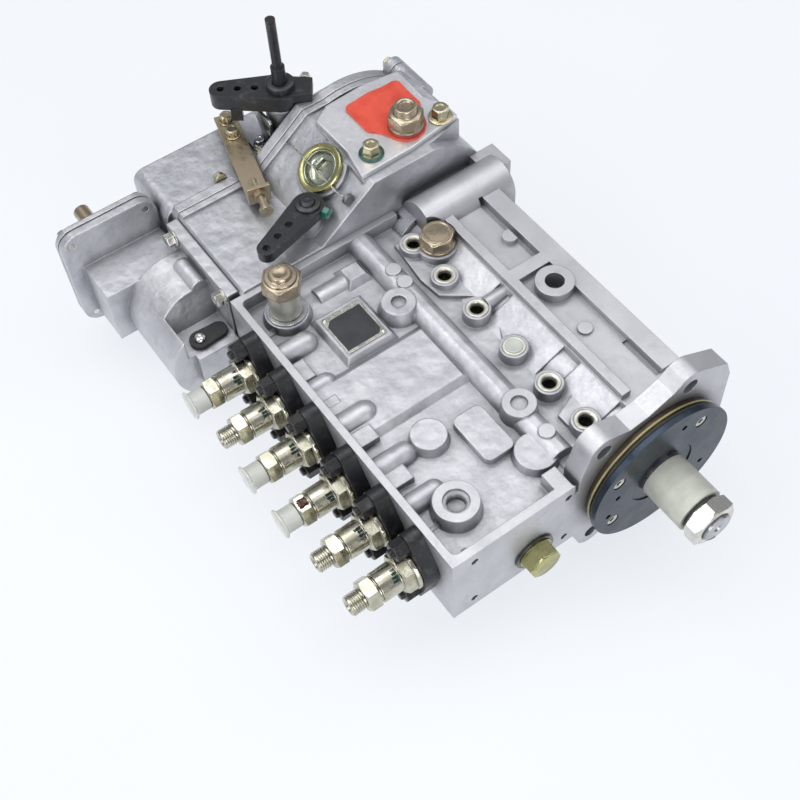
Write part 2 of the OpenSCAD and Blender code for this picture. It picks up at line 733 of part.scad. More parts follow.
// Places of the cover's screws and of its small drilled holes
cover_screw_yz = [[-36.8, 23.1], [-36.8, -20.8], [26.1, 32.6], [26.1, -32.6]];
cover_hole_yz = [[11.6, 39.3], [-35.9, 5.4], [-41.6, -11.3], [35.6, -20.8]];
module bearing_cover() {
    color("#66707f") difference() {
        union() {
            xcyl(pilot_d / 2 - 3, 0, cover_x);
            xcyl(pilot_d / 2, 8.5, cover_x);
            xcyl(spigot_r - run_clear, spigot_x, 0);
        }
        xcyl(24, 4, cover_x + cut);
        xcyl(bearing_d / 2, spigot_x - cut, 4);
        for (p = cover_screw_yz) {
            xcyl(2.6, -cut, cover_x + cut, p[0], p[1]);
            xcyl(4.6, cover_x - 3.2, cover_x + cut, p[0], p[1]);
        }
        for (p = cover_hole_yz) xcyl(2, cover_x - 5, cover_x + cut, p[0], p[1]);
        // Grooves of the seals
        translate([7.2, 0, 0]) rotate([0, 90, 0])
            rotate_extrude() translate([pilot_d / 2 - 1.95, 0]) circle(r = 1.2);
        translate([4, 0, 0]) rotate([0, 90, 0])
            rotate_extrude() translate([pilot_d / 2 - 2.2, 0]) circle(r = 0.8);
    }
}
module cover_screws() {
    color("#c9c7b8") for (p = cover_screw_yz) difference() {
        union() {
            xcyl(2.6, 0, cover_x - 3, p[0], p[1]);
            xcyl(4.5, cover_x - 3.2, cover_x - 0.5, p[0], p[1]);
        }
        xhex(4.4, cover_x - 2, cover_x + cut, p[0], p[1]);
    }
}
module shaft_sleeve() {
    color("#b9bcab", 0.8) difference() {
        xcyl(sleeve_d / 2, 13.6, 45.8);
        translate([12.9, 0, 0]) rotate([0, 90, 0]) cylinder(r1 = seat_r + 0.06, r2 = 11.56, h = 33.1);
        xcyl(seat_r + 0.06, 12, 13.7);
    }
    color("#1c1d1e") difference() {
        xcyl(13.5, 46.1, 48);
        xcyl(shaft_end_d / 2, 46, 49);
    }
}
module shaft_nut() {
    color("#c9c8bd") difference() {
        xhex(30, 48, 59.5, 0, 0, 8);
        xcyl(shaft_end_d / 2, 47, 60);
    }
}

module port_rings() {
    color("#d4d3ca") for (x = ports_x) translate([x, port_y, 0]) difference() {
        zcyl(port_ring_r, 25.2, 28.8);
        zcyl(port_r, 25, 29);
    }
}
// Overflow union on a spacer
module fuel_union() {
    translate([union_at[0], union_at[1], 0]) {
        color("#a3a084") {
            zcyl(6.95, 16, 48);
            zhex(24, 48, 59, 0, 0, 20);
            zcyl(10.5, 59, 61);
            zcyl(7.5, 61, 64);
        }
        color("#c2c0a8") difference() {
            zcyl(10.8, 26.5 + seam, 48 - seam);
            zcyl(7, 25, 49);
        }
        color("#8f8d84") difference() {
            zcyl(13.6, 25, 26.5);
            zcyl(7, 24, 27);
        }
    }
}
module nameplate() {
    color("#303338") difference() {
        pad(-197, -163.5, -111, -81, floor_z + 5, floor_z + 5.8, 1.5);
        for (p = [[-195, -109], [-165.5, -83]]) zcyl(1, floor_z, block_top, p[0], p[1]);
    }
}

// Outline of the governor castings in YZ, with the sloping field of the sight plug
module governor_outline(grow = 0) {
    low = gov_low_z + grow;
    circle(r = gov_r + grow);
    polygon([[-comp_joint, -30], [-comp_joint, gov_low_z - 3], [-comp_joint + 3, low],
        [slope_low - grow / 2, low], [slope_high - grow / 2, pad_z + grow], [0, pad_z + grow],
        [0, -gov_r], [-55, -40 - grow], [-comp_joint + 6, -36 - grow]]);
}
module governor_hollow() {
    low = gov_low_z - gov_wall;
    front = -comp_joint + gov_wall;
    circle(r = gov_r - gov_wall);
    polygon([[front, -36 + gov_wall], [front, low], [slope_low + 4, low], [-34, 48], [0, 48],
        [0, -48], [-50, -34], [-60, -36 + gov_wall]]);
}
// Frame on the sloping field, its Z square to the field
sight_y = -47.5;
module sight_frame() {
    translate([-282, sight_y, gov_low_z + (sight_y - slope_low) * tan(slope_turn)])
        rotate([slope_turn, 0, 0]) children();
}
module governor_housing() {
    color("#c4c6cd") difference() {
        union() {
            difference() {
                pull_x(seam_x + gasket_t / 2, gov_x1) governor_outline();
                // Flat under the lid
                block([seam_x - cut, lid_y0, pad_z], [gov_x1 + cut, lid_y1, pad_z + 10]);
            }
            difference() {
                pull_x(seam_x + gasket_t / 2, seam_x + seam_w) governor_outline(seam_grow);
                block([seam_x - cut, -comp_joint - 5, -70], [gov_x1, -comp_joint, 70]);
            }
            translate([0, 0, 40]) linear_extrude(pad_z - 40)
                polygon([[-321, 44], [-321, -33], [-249, -38], [-250, 20], [-256, 47], [-285, 47]]);
            xcyl(lug_r, seam_x + gasket_t / 2, seam_x + 31, lug_yz[0], lug_yz[1]);
            zcyl(9.5, gov_low_z - 4, throttle_z - part_gap, throttle_at[0], throttle_at[1]);
            sight_frame() cylinder(r = 20.5, h = 4);
        }
        pull_x(seam_x - cut, gov_x1 - gov_wall) governor_hollow();
        // Openings to the camshaft, the rack and the compensator
        xcyl(bearing_d / 2 - 2, gov_x1 - 10, gov_x1 + cut);
        block([gov_x1 - 10, -sleeve_y - 6, -rack_z - 7], [gov_x1 + cut, -sleeve_y + 6, -rack_z + 7]);
        ycyl(way_r, -comp_joint - cut, -comp_joint + 10, way_at[0], way_at[1]);
        zcyl(lever_shaft_d / 2 + run_clear, 0, 60, throttle_at[0], throttle_at[1]);
        sight_frame() translate([0, 0, -20]) cylinder(r = 14, h = 40);
        block([seam_x + seam_w, -38.5, pad_z], [gov_x1, lid_y1, pad_z + 10]);
        zcyl(9, 50, 70, filler_at[0], filler_at[1]);
        for (p = lid_bolts) zcyl(3, 52, 70, p[0], p[1]);
        xcyl(2.5, seam_x - cut, seam_x + 6, lug_yz[0], lug_yz[1]);
        // Seat of the fulcrum pin
        zcyl(4, -49, 0, fulcrum_x, fulcrum_y);
    }
}
module governor_gasket() {
    color("#8a4438") difference() {
        pull_x(seam_x - gasket_t / 2, seam_x + gasket_t / 2) governor_outline(seam_grow - 0.5);
        pull_x(seam_x - cut, seam_x + cut) governor_hollow();
        block([seam_x - cut, -comp_joint - 5, -70], [seam_x + cut, -comp_joint, 70]);
    }
}
module governor_cover() {
    back = seam_x - gasket_t / 2;
    color("#c0c2ca") difference() {
        union() {
            difference() {
                pull_x(back - 7.7, back) governor_outline(seam_grow);
                block([back - 9, -comp_joint - 5, -70], [back + 1, -comp_joint, 70]);
            }
            xcyl(lug_r, back - 7.7, back, lug_yz[0], lug_yz[1]);
            // Deep part over the linkage
            pull_x(gov_x0, back - 7) rrect(-147, -38, -36, gov_low_z, 9);
            // Round part over the flyweights
            translate([back - 7, 0, 0]) rotate([0, -90, 0]) cylinder(r1 = gov_r - 3, r2 = 42, h = 26);
            // Pedestal of the stop shaft
            zcyl(13, 20, stop_z - part_gap, stop_at[0], stop_at[1]);
            for (u = strap_screws) strap_frame() translate([u, 0, -8]) cylinder(r = 6.5, h = 8);
        }
        pull_x(gov_x0 + gov_wall, back - 6) rrect(-140, -44, -29, gov_low_z - gov_wall, 5);
        pull_x(back - 7, back + cut) governor_hollow();
        translate([back, 0, 0]) rotate([0, -90, 0]) cylinder(r1 = gov_r - gov_wall - 3, r2 = 36, h = 27);
        zcyl(lever_shaft_d / 2 + run_clear, 0, 70, stop_at[0], stop_at[1]);
        for (u = strap_screws) strap_frame() translate([u, 0, -12]) cylinder(r = 2.5, h = 13);
        xcyl(2.5, back - 9, back + cut, lug_yz[0], lug_yz[1]);
    }
}
module governor_lid() {
    color("#cfd1d6") difference() {
        translate([0, 0, pad_z]) linear_extrude(lid_t)
            polygon([[-318, 40], [-322, 12], [-320, -20], [-312, -33], [-275, -33], [-250, -38],
                [-251, 4], [-257, 46], [-271, 46], [-286, 39]]);
        for (p = lid_bolts) zcyl(3, 60, 70, p[0], p[1]);
        zcyl(9, 60, 70, filler_at[0], filler_at[1]);
    }
}
module filler_plug() {
    translate([filler_at[0], filler_at[1], 0]) {
        color("#9c968a") {
            zcyl(8.9, 54, lid_z + 3);
            zcyl(12.4, lid_z + 3, lid_z + 5);
            zhex(22, lid_z + 5, lid_z + 14, 0, 0, 12);
            zcyl(8, lid_z + 14, lid_z + 20);
        }
        color("#b0301f") difference() {
            zcyl(12.8, lid_z + 1.4, lid_z + 3 - seam);
            zcyl(9, lid_z, lid_z + 4);
        }
    }
}
module filler_tag() {
    color("#d8503f") translate([0, 0, lid_z]) difference() {
        union() {
            linear_extrude(1.4) polygon([[-310, -8], [-306, -12], [-282, -12], [-278, -8],
                [-266, -1.5], [-266, 25.5], [-278, 29], [-282, 33], [-306, 33], [-310, 29]]);
            zcyl(14, 0, 1.4, filler_at[0], filler_at[1]);
        }
        zcyl(9, -cut, 5, filler_at[0], filler_at[1]);
    }
}
module sight_plug() {
    color("#b5ad5e") sight_frame() difference() {
        union() {
            translate([0, 0, 4]) cylinder(r = 17.5, h = 3.5);
            translate([0, 0, -6]) cylinder(r = 13.9, h = 11);
        }
        translate([0, 0, 2]) cylinder(r = 12, h = 10);
        translate([0, 0, -3]) hex(14, 6);
    }
}
// Wire of the seal, its route in round numbers
wire_route = [[-314, -40, 66], [-306, -44, 68], [-294, -47, 66], [-280, -48, 66.5],
    [-266, -46, 65.8], [-259, -46, 60]];
module seal_wire() {
    r = 0.6;
    sides = 8;
    last = len(wire_route) - 1;
    pts = [for (i = [0 : last], k = [0 : sides - 1])
        wire_route[i] + r * [0, cos(k * 360 / sides), sin(k * 360 / sides)]];
    faces = [for (i = [0 : last - 1], k = [0 : sides - 1])
        let (a = i * sides + k, b = i * sides + (k + 1) % sides)
        [a, a + sides, b + sides, b]];
    caps = [[for (k = [0 : sides - 1]) k], [for (k = [sides - 1 : -1 : 0]) last * sides + k]];
    color("#8c8f92") polyhedron(pts, concat(faces, caps), convexity = 4);
    color("#77797c") translate(wire_route[last]) rotate([0, 90, 0]) cylinder(r = 4.2, h = 3.6);
}

// Flat lever along +X from its hub, with three holes near its end
module drilled_lever(len, hub_r, end_r, t) {
    difference() {
        linear_extrude(t) bar2d([0, 0], hub_r, [len, 0], end_r);
        translate([0, 0, -cut]) cylinder(r = lever_shaft_d / 2, h = t + 2 * cut);
        for (k = [0, 1, 2]) translate([len - k * 12, 0, -cut]) cylinder(r = 2.6, h = t + 2 * cut);
    }
}
module throttle_frame() {
    translate([throttle_at[0], throttle_at[1], throttle_z]) rotate([0, 0, throttle_turn]) children();
}
module throttle_lever() {
    color("#2c2d30") throttle_frame() drilled_lever(throttle_len, 11, 6.5, lever_t);
    color("#8f8b74") throttle_frame() translate([-3, 11, lever_t / 2]) rotate([-90, 0, 0]) hex(6, 4);
}
module throttle_shaft() {
    color("#3c3d40") throttle_frame() {
        translate([0, 0, -42]) cylinder(r = lever_shaft_d / 2, h = 42 + lever_t + 1.5);
        // Inner crank
        translate([0, 0, -42]) linear_extrude(6) bar2d([0, 0], 8, [0, -20], 5);
    }
}
module stop_frame() {
    translate([stop_at[0], stop_at[1], stop_z]) rotate([0, 0, stop_turn]) children();
}
module stop_lever() {
    color("#242527") stop_frame() {
        drilled_lever(stop_len, 13, 8, 12);
        difference() {
            translate([0, 0, 5.2]) linear_extrude(6.8) polygon([[-22, -8], [-22, 8], [0, 11], [0, -11]]);
            translate([0, 0, -cut]) cylinder(r = 12, h = 20);
        }
        translate([stop_len - 14, 5, -9]) cube([8, 5, 10]);
    }
}
module stop_shaft() {
    color("#303236") stop_frame() {
        translate([0, 0, -48]) cylinder(r = lever_shaft_d / 2, h = 78);
        translate([0, 0, 30]) cylinder(r = lever_shaft_d / 2 - 1.5, h = 40);
    }
}
// Frame on the strap that carries the adjusting screw
strap_screws = [7, 22];
module strap_frame() {
    translate([-383.2, -68.6, gov_low_z + 7.5]) rotate([0, 0, -15]) children();
}
module stop_bracket() {
    color("#a79a6d") strap_frame() difference() {
        union() {
            block([0, -8, 0], [89, 8, 3]);
            block([86, -8, 0], [89, 8, 14]);
        }
        for (u = strap_screws) zcyl(2.6, -cut, 5, u, 0);
        xcyl(2.5 + seam, 80, 95, 0, 8.5);
    }
    color("#a9a07c") strap_frame() {
        for (u = strap_screws) translate([u, 0, 3 + seam]) flange_bolt(8, 5.5, 6, 2.4, 12);
    }
    color("#9a9573") strap_frame() {
        xcyl(2.5, 76, 104, 0, 8.5);
        xcyl(4.5, 104, 107, 0, 8.5);
        difference() {
            xhex(8, 89 + seam, 93, 0, 8.5);
            xcyl(2.5 + seam, 80, 95, 0, 8.5);
        }
    }
}

module comp_outline() {
    rrect(comp_mid[0] - comp_flange_w / 2, comp_mid[0] + comp_flange_w / 2,
        comp_mid[1] - comp_flange_h / 2, comp_mid[1] + comp_flange_h / 2, 13);
}
module compensator_housing() {
    x1 = gov_x1 - 4;
    color("#c5c7ce") difference() {
        union() {
            // Joint flange
            block([seam_x + gasket_t / 2, -comp_joint - 8.4, -36], [x1, -comp_joint, 30]);
            // Main body with a large round edge
            pull_x(comp_mid_x, x1) {
                intersection() {
                    translate([comp_y0 + comp_r, comp_top - comp_r]) circle(r = comp_r);
                    translate([comp_y0, comp_bottom - 30]) square([-comp_joint - cut - comp_y0, 100]);
                }
                polygon([[comp_y0 + comp_r, comp_top], [-comp_joint - cut, comp_top],
                    [-comp_joint - cut, comp_bottom], [comp_y0 + 10, comp_bottom],
                    [comp_y0, comp_top - comp_r]]);
            }
            // Box behind the diaphragm flange
            block([comp_flange_x, -211, comp_bottom], [comp_mid_x + cut, -150, 10]);
            pull_x(comp_flange_x, comp_flange_x + comp_flange_t) comp_outline();
            // Long round bump and the block under the oval cap
            xcyl(bump_r, -298, -276, -157, comp_top - 2);
            for (x = [-298, -276]) translate([x, -157, comp_top - 2]) sphere(r = bump_r);
            block([pad_x0, -183, comp_bottom], [pad_x1, -comp_joint - 8.9, -8]);
        }
        // Step that carries the oval cap
        pull_y(-188, -comp_joint - 8.9)
            polygon([[pad_x0, -8], [pad_x1 + cut, -8], [pad_x1 + cut, 40], [pad_x0 - 6, 40], [pad_x0 - 6, 14]]);
        // Diaphragm room, rod bore and way to the governor
        xcyl(17, comp_flange_x - cut, comp_flange_x + 32, comp_bore[0], comp_bore[1]);
        xcyl(4 + run_clear, comp_flange_x + 30, -284, comp_bore[0], comp_bore[1]);
        ycyl(way_r, -comp_joint - 46, -comp_joint + cut, way_at[0], way_at[1]);
        for (p = comp_screw_yz) xcyl(2.5, comp_flange_x - cut, comp_flange_x + 8, p[0], p[1]);
        for (x = comp_joint_x) ycyl(3, -comp_joint - 20, -comp_joint + cut, x, comp_joint_z);
    }
}
comp_screw_yz = [for (s = [-1, 1], t = [-1, 1]) comp_mid + [s * 28.5, t * 35]];
comp_joint_x = [-318, -253];
bump_r = 7;
pad_x0 = -269.5;
pad_x1 = -241;
comp_joint_z = 25;
module compensator_cover() {
    color("#bcbec6") difference() {
        union() {
            pull_x(comp_flange_x - 5, comp_flange_x - 1) comp_outline();
            translate([comp_flange_x - 5, comp_mid[0], comp_mid[1]]) rotate([0, -90, 0])
                cylinder(r1 = 30, r2 = 22, h = 11);
        }
        translate([comp_flange_x, comp_mid[0], comp_mid[1]]) rotate([0, -90, 0])
            cylinder(r1 = 26, r2 = 18, h = 12);
        xcyl(6, comp_flange_x - 30, comp_flange_x - 5, comp_mid[0], comp_mid[1]);
        for (p = comp_screw_yz) xcyl(2.5, comp_flange_x - 8, comp_flange_x, p[0], p[1]);
    }
}
module compensator_screws() {
    color("#a9aaa2") {
        for (p = comp_screw_yz) translate([comp_flange_x - 5, p[0], p[1]]) rotate([0, -90, 0])
            flange_bolt(7, 4.8, 4.5, 2.4, 11);
        for (x = comp_joint_x) translate([x, -comp_joint - 8.4, comp_joint_z]) rotate([90, 0, 0])
            flange_bolt(9, 6.5, 7, 2.9, 8);
        zcyl(4, -5, -2, cap_at[0], cap_at[1] - 7);
    }
}
module boost_stub() {
    color("#8f9182") difference() {
        union() {
            xcyl(6, comp_flange_x - 54, comp_flange_x - 12, comp_mid[0], comp_mid[1]);
            xhex(14, comp_flange_x - 22, comp_flange_x - 16.1, comp_mid[0], comp_mid[1]);
        }
        xcyl(3.5, comp_flange_x - 60, comp_flange_x, comp_mid[0], comp_mid[1]);
    }
}
cap_at = [-254.5, -167];
module oval_cap() {
    color("#1f2123") translate([cap_at[0], cap_at[1], -8]) difference() {
        union() {
            zcyl(7.5, 0, 3, 0, -7);
            zcyl(6.5, 0, 3, 0, 7);
            linear_extrude(3) polygon([[-7.4, -7], [7.4, -7], [6.4, 7], [-6.4, 7]]);
        }
        zcyl(2.5, -cut, 2, 0, -7);
    }
}
module boost_diaphragm() {
    color("#3a3a36") difference() {
        pull_x(comp_flange_x - 1, comp_flange_x) comp_outline();
        for (p = comp_screw_yz) xcyl(2.5, comp_flange_x - 8, comp_flange_x + cut, p[0], p[1]);
    }
    color("#8c8f94") {
        xcyl(4, comp_flange_x + 2.5, -285, comp_bore[0], comp_bore[1]);
        xcyl(13, comp_flange_x + seam, comp_flange_x + 2.5, comp_bore[0], comp_bore[1]);
    }
}

// Hub on the camshaft with the two guide pins of the flyweights
module weight_carrier() {
    x = -block_len - 24;
    color("#84878d") difference() {
        union() {
            xcyl(16, x - 14, x + 14);
            zcyl(4, -50, 50, x, 0);
        }
        xcyl(12, x - 20, x + 20);
    }
}
module flyweight(s) {
    x = -block_len - 24;
    color("#6d7075") difference() {
        intersection() {
            block([x - 12, -28, s > 0 ? 19 : -42], [x + 12, 28, s > 0 ? 42 : -19]);
            xcyl(42, x - 20, x + 20);
        }
        zcyl(4 + run_clear, -60, 60, x, 0);
    }
}
module flyweight_1() { flyweight(1); }
module flyweight_2() { flyweight(-1); }
module sliding_bolt() {
    x1 = -block_len - 53;
    color("#8b8e93") difference() {
        union() {
            xcyl(8, fulcrum_x - 8, x1);
            xcyl(15, x1 - 3, x1);
        }
        block([fulcrum_x - link_pin_r - 0.25, -20, -4], [fulcrum_x + link_pin_r + 0.25, 20, 9]);
    }
}
module fulcrum_lever() {
    color("#7b7f85") translate([fulcrum_x, 0, 0]) difference() {
        union() {
            translate([0, 0, 9.5]) linear_extrude(5) {
                bar2d([0, fulcrum_y], 8, [0, bolt_y], 5);
                bar2d([0, fulcrum_y], 8, [0, -sleeve_y], 5);
            }
            zcyl(link_pin_r, -2, 10, 0, bolt_y);
            zcyl(link_pin_r, -6, 10, 0, -sleeve_y);
        }
        zcyl(4 + run_clear, 0, 20, 0, fulcrum_y);
    }
}
module fulcrum_pin() {
    color("#96999e") zcyl(4, -49, 18, fulcrum_x, fulcrum_y);
}

pump_housing();
base_cover();
casing_screws();
barrel_flanges();
plunger_barrels();
delivery_valves();
valve_holders();
flange_nuts();
transport_caps();
plunger_springs();
tappet_1();
tappet_2();
tappet_3();
tappet_4();
tappet_5();
tappet_6();
control_sleeve_1();
control_sleeve_2();
control_sleeve_3();
control_sleeve_4();
control_sleeve_5();
control_sleeve_6();
control_rack();
screw_plugs();
camshaft();
bearing_cups();
bearing_cones();
pump_seals();
bearing_cover();
cover_screws();
shaft_sleeve();
shaft_nut();
port_rings();
fuel_union();
nameplate();
governor_housing();
governor_gasket();
governor_cover();
governor_lid();
filler_plug();
filler_tag();
sight_plug();
seal_wire();
throttle_lever();
throttle_shaft();
stop_lever();
stop_shaft();
stop_bracket();
compensator_housing();
compensator_cover();
compensator_screws();
boost_stub();
oval_cap();
boost_diaphragm();
weight_carrier();
flyweight_1();
flyweight_2();
sliding_bolt();
fulcrum_lever();
fulcrum_pin();
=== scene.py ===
"""Looks of a six-cylinder inline fuel injection pump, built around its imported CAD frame.

X runs along the camshaft towards the drive end, Y from the delivery valves
towards the base, Z up. Lengths are in metres, and in millimetres inside mm().
"""

import logging
import math
import random
from dataclasses import dataclass
from enum import Enum
from typing import Callable, Sequence

import bmesh
import bpy
from mathutils import Matrix, Vector


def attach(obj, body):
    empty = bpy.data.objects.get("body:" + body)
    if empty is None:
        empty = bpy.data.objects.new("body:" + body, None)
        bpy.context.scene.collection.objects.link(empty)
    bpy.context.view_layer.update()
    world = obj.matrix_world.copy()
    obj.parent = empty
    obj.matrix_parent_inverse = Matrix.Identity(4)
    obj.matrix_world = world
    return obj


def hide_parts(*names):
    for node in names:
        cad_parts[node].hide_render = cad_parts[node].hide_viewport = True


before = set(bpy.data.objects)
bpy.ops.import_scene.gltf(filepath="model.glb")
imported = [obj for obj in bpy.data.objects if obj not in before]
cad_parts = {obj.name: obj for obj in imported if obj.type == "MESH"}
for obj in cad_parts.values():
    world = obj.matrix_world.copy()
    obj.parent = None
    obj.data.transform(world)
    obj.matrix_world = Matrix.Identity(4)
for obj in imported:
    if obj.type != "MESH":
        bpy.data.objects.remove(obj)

LOG = logging.getLogger("pump")
MM = 0.001
ROOT_3 = math.sqrt(3)
MERGE = 1e-6
SHARP = math.radians(38)
RAY_SAMPLES = 6
STAY = Matrix.Identity(4)
CASING = "casing"
Point = tuple[float, float, float]
Colour = tuple[float, float, float]
Profile = Sequence[tuple[float, float]]
Socket = bpy.types.NodeSocket


class Along(Enum):
    """The axis that a turned piece stands on."""

    X = (1.0, 0.0, 0.0)
    Y = (0.0, 1.0, 0.0)
    Z = (0.0, 0.0, 1.0)
    OUT = (0.0, -1.0, 0.0)
    BACK = (-1.0, 0.0, 0.0)


# ---- finishes ----


class Graph:
    """The node graph of one material, with short ways to add its usual nodes."""

    MIX_FACTOR, MIX_FIRST, MIX_SECOND, MIX_RESULT = 0, 6, 7, 2

    def __init__(self, name: str) -> None:
        """Starts a material that holds only its output and its surface shader.

        Args:
            name: The material's name.
        """
        self.material = bpy.data.materials.new(name)
        self.material.use_nodes = True
        self.tree = self.material.node_tree
        self.tree.nodes.clear()
        out = self.tree.nodes.new("ShaderNodeOutputMaterial")
        self.shader = self.tree.nodes.new("ShaderNodeBsdfPrincipled")
        self.tree.links.new(self.shader.outputs["BSDF"], out.inputs["Surface"])
        self.place = self.tree.nodes.new("ShaderNodeTexCoord").outputs["Object"]

    def put(self, target: Socket, value: object) -> None:
        """Sets a socket to a constant, or links it when the value is a socket.

        Args:
            target: The input socket.
            value: A number, a colour or another node's output socket.
        """
        if isinstance(value, Socket):
            self.tree.links.new(value, target)
        elif isinstance(value, tuple) and len(value) == 3 and len(target.default_value) == 4:
            target.default_value = (*value, 1.0)
        else:
            target.default_value = value

    def add(self, kind: str, output: int | str, **values: object) -> Socket:
        """One node with its named inputs filled.

        Args:
            kind: The node's type, without its first part.
            output: The output that is used.
            **values: Inputs, underscores for spaces, and their values.

        Returns:
            The output.
        """
        node = self.tree.nodes.new("ShaderNode" + kind)
        for name, value in values.items():
            self.put(node.inputs[name.replace("_", " ")], value)
        return node.outputs[output]

    def noise(self, scale: float, detail: float = 3.0, rough: float = 0.55,
              stretch: Point = (1.0, 1.0, 1.0)) -> Socket:
        """Noise on the piece's own coordinates.

        Args:
            scale: Cells per metre.
            detail: Octaves of the noise.
            rough: Weight of its finer octaves.
            stretch: Factors of the three coordinates.

        Returns:
            The noise value, from 0 to 1.
        """
        place = self.add("Mapping", "Vector", Scale=stretch, Vector=self.place)
        return self.add("TexNoise", "Fac", Scale=scale, Detail=detail, Roughness=rough,
                        Vector=place)

    def cells(self, scale: float) -> Socket:
        """Distance to the nearest of scattered points, for pebbles, at cells per metre."""
        return self.add("TexVoronoi", "Distance", Scale=scale, Vector=self.place)

    def ramp(self, value: Socket, low: float, high: float, to_low: float = 0.0,
             to_high: float = 1.0) -> Socket:
        """A value mapped from one span to another and held inside it.

        Args:
            value: The socket to map.
            low: Value that gives to_low.
            high: Value that gives to_high.
            to_low: Result at low.
            to_high: Result at high.

        Returns:
            The mapped value.
        """
        found = self.add("MapRange", "Result", Value=value, From_Min=low, From_Max=high,
                         To_Min=to_low, To_Max=to_high)
        found.node.interpolation_type = "SMOOTHSTEP"
        return found

    def math(self, kind: str, a: object, b: object) -> Socket:
        """One arithmetic node.

        Args:
            kind: The operation.
            a: First input, a number or a socket.
            b: Second input.

        Returns:
            The result.
        """
        found = self.add("Math", 0)
        found.node.operation = kind
        for socket, value in zip(found.node.inputs, (a, b)):
            self.put(socket, value)
        return found

    def mix(self, factor: object, a: object, b: object) -> Socket:
        """Two colours mixed.

        Args:
            factor: Share of the second colour.
            a: First colour.
            b: Second colour.

        Returns:
            The mixed colour.
        """
        node = self.tree.nodes.new("ShaderNodeMix")
        node.data_type = "RGBA"
        for i, value in ((self.MIX_FACTOR, factor), (self.MIX_FIRST, a), (self.MIX_SECOND, b)):
            self.put(node.inputs[i], value)
        return node.outputs[self.MIX_RESULT]

    def round_edges(self, radius: float) -> Socket:
        """A normal that rounds the edges by a radius."""
        found = self.add("Bevel", "Normal", Radius=radius)
        found.node.samples = RAY_SAMPLES
        return found

    def bump(self, height: Socket, depth: float, strength: float, normal: Socket) -> Socket:
        """A normal disturbed by a height.

        Args:
            height: The height, from 0 to 1.
            depth: What a height of 1 stands for, in metres.
            strength: Share of the effect.
            normal: The normal that is disturbed.

        Returns:
            The new normal.
        """
        return self.add("Bump", "Normal", Distance=depth, Strength=strength, Height=height,
                        Normal=normal)

    def hollow(self, distance: float) -> Socket:
        """How open a spot is, from 0 in a corner to 1 in the open, for shade painted into corners.
        """
        found = self.add("AmbientOcclusion", "AO", Distance=distance)
        found.node.samples = RAY_SAMPLES
        return found

    def surface(self, **values: object) -> bpy.types.Material:
        """Fills the surface shader and returns the material.

        Args:
            **values: Socket names with underscores for spaces, and their values.

        Returns:
            The finished material.
        """
        for name, value in values.items():
            self.put(self.shader.inputs[name.replace("_", " ")], value)
        return self.material


@dataclass(frozen=True)
class CastMetal:
    """Sand or die cast light alloy with pebbled skin, and smooth where it was machined, with shade
    painted into its corners.
    """

    name: str
    colour: Colour
    shade: Colour
    rough: float = 0.46
    pebble: float = 900.0
    depth: float = 0.00012
    edge: float = 0.0016
    # Factor on the darker tone (shade) that gives the colour of the random stains and of the
    # painted shade in corners.
    grime_and_shade: float = 0.5
    wavy: float = 0.5
    metallic: float = 0.88

    def make(self) -> bpy.types.Material:
        """Builds the material."""
        g = Graph(self.name)
        skin = g.math("ADD", g.noise(self.pebble, 4.0, 0.6),
                      g.math("MULTIPLY", g.ramp(g.cells(self.pebble * 0.45), 0.0, 0.8), 0.3))
        stain = g.ramp(g.noise(75.0, 5.0, 0.65), 0.52, 0.74)
        # Painted shade: ambient occlusion darkens corners and recesses towards the same darker
        # colour that the random stains use.
        painted_shade_mask = g.ramp(g.hollow(0.014), 0.3, 0.95)
        grime_and_shade_colour = tuple(self.grime_and_shade * c for c in self.shade)
        base = g.mix(g.ramp(g.noise(34.0), 0.35, 0.65), self.shade, self.colour)
        base = g.mix(g.math("MULTIPLY", stain, 0.3), base, grime_and_shade_colour)
        base = g.mix(painted_shade_mask, grime_and_shade_colour, base)
        roughness = g.ramp(skin, 0.4, 1.1, self.rough - 0.08, self.rough + 0.12)
        waves = g.bump(g.noise(95.0, 2.0, 0.4), 0.0011, self.wavy, g.round_edges(self.edge))
        return g.surface(Base_Color=base, Metallic=self.metallic, Roughness=roughness,
                         Normal=g.bump(skin, self.depth, 0.55, waves))


@dataclass(frozen=True)
class PlatedSteel:
    """Steel with a plated or ground skin: zinc, yellow zinc, bright or dark, with shade painted
    into its corners.
    """

    name: str
    colour: Colour
    tint: Colour
    rough: float = 0.3
    metallic: float = 1.0
    blotch: float = 140.0
    scratch: Point = (1.0, 1.0, 1.0)
    edge: float = 0.0005
    wear: float = 0.35

    def make(self) -> bpy.types.Material:
        """Builds the material."""
        g = Graph(self.name)
        blotch = g.ramp(g.noise(self.blotch, 4.0, 0.6), 0.36, 0.66)
        fine = g.noise(1500.0, 3.0, 0.6, self.scratch)
        base = g.mix(blotch, self.colour, self.tint)
        # Painted shade: ambient occlusion darkens corners and recesses towards a deep copy of the
        # tint.
        base = g.mix(g.ramp(g.hollow(0.005), 0.2, 0.85), tuple(0.4 * c for c in self.tint), base)
        base = g.mix(g.math("MULTIPLY", g.ramp(fine, 0.6, 0.8), self.wear), base,
                     tuple(0.5 * c for c in self.colour))
        roughness = g.ramp(g.math("ADD", g.math("MULTIPLY", blotch, 0.4), fine), 0.3, 1.1,
                           self.rough - 0.08, self.rough + 0.16)
        return g.surface(Base_Color=base, Metallic=self.metallic, Roughness=roughness,
                         Normal=g.bump(fine, 0.00002, 0.6, g.round_edges(self.edge)))


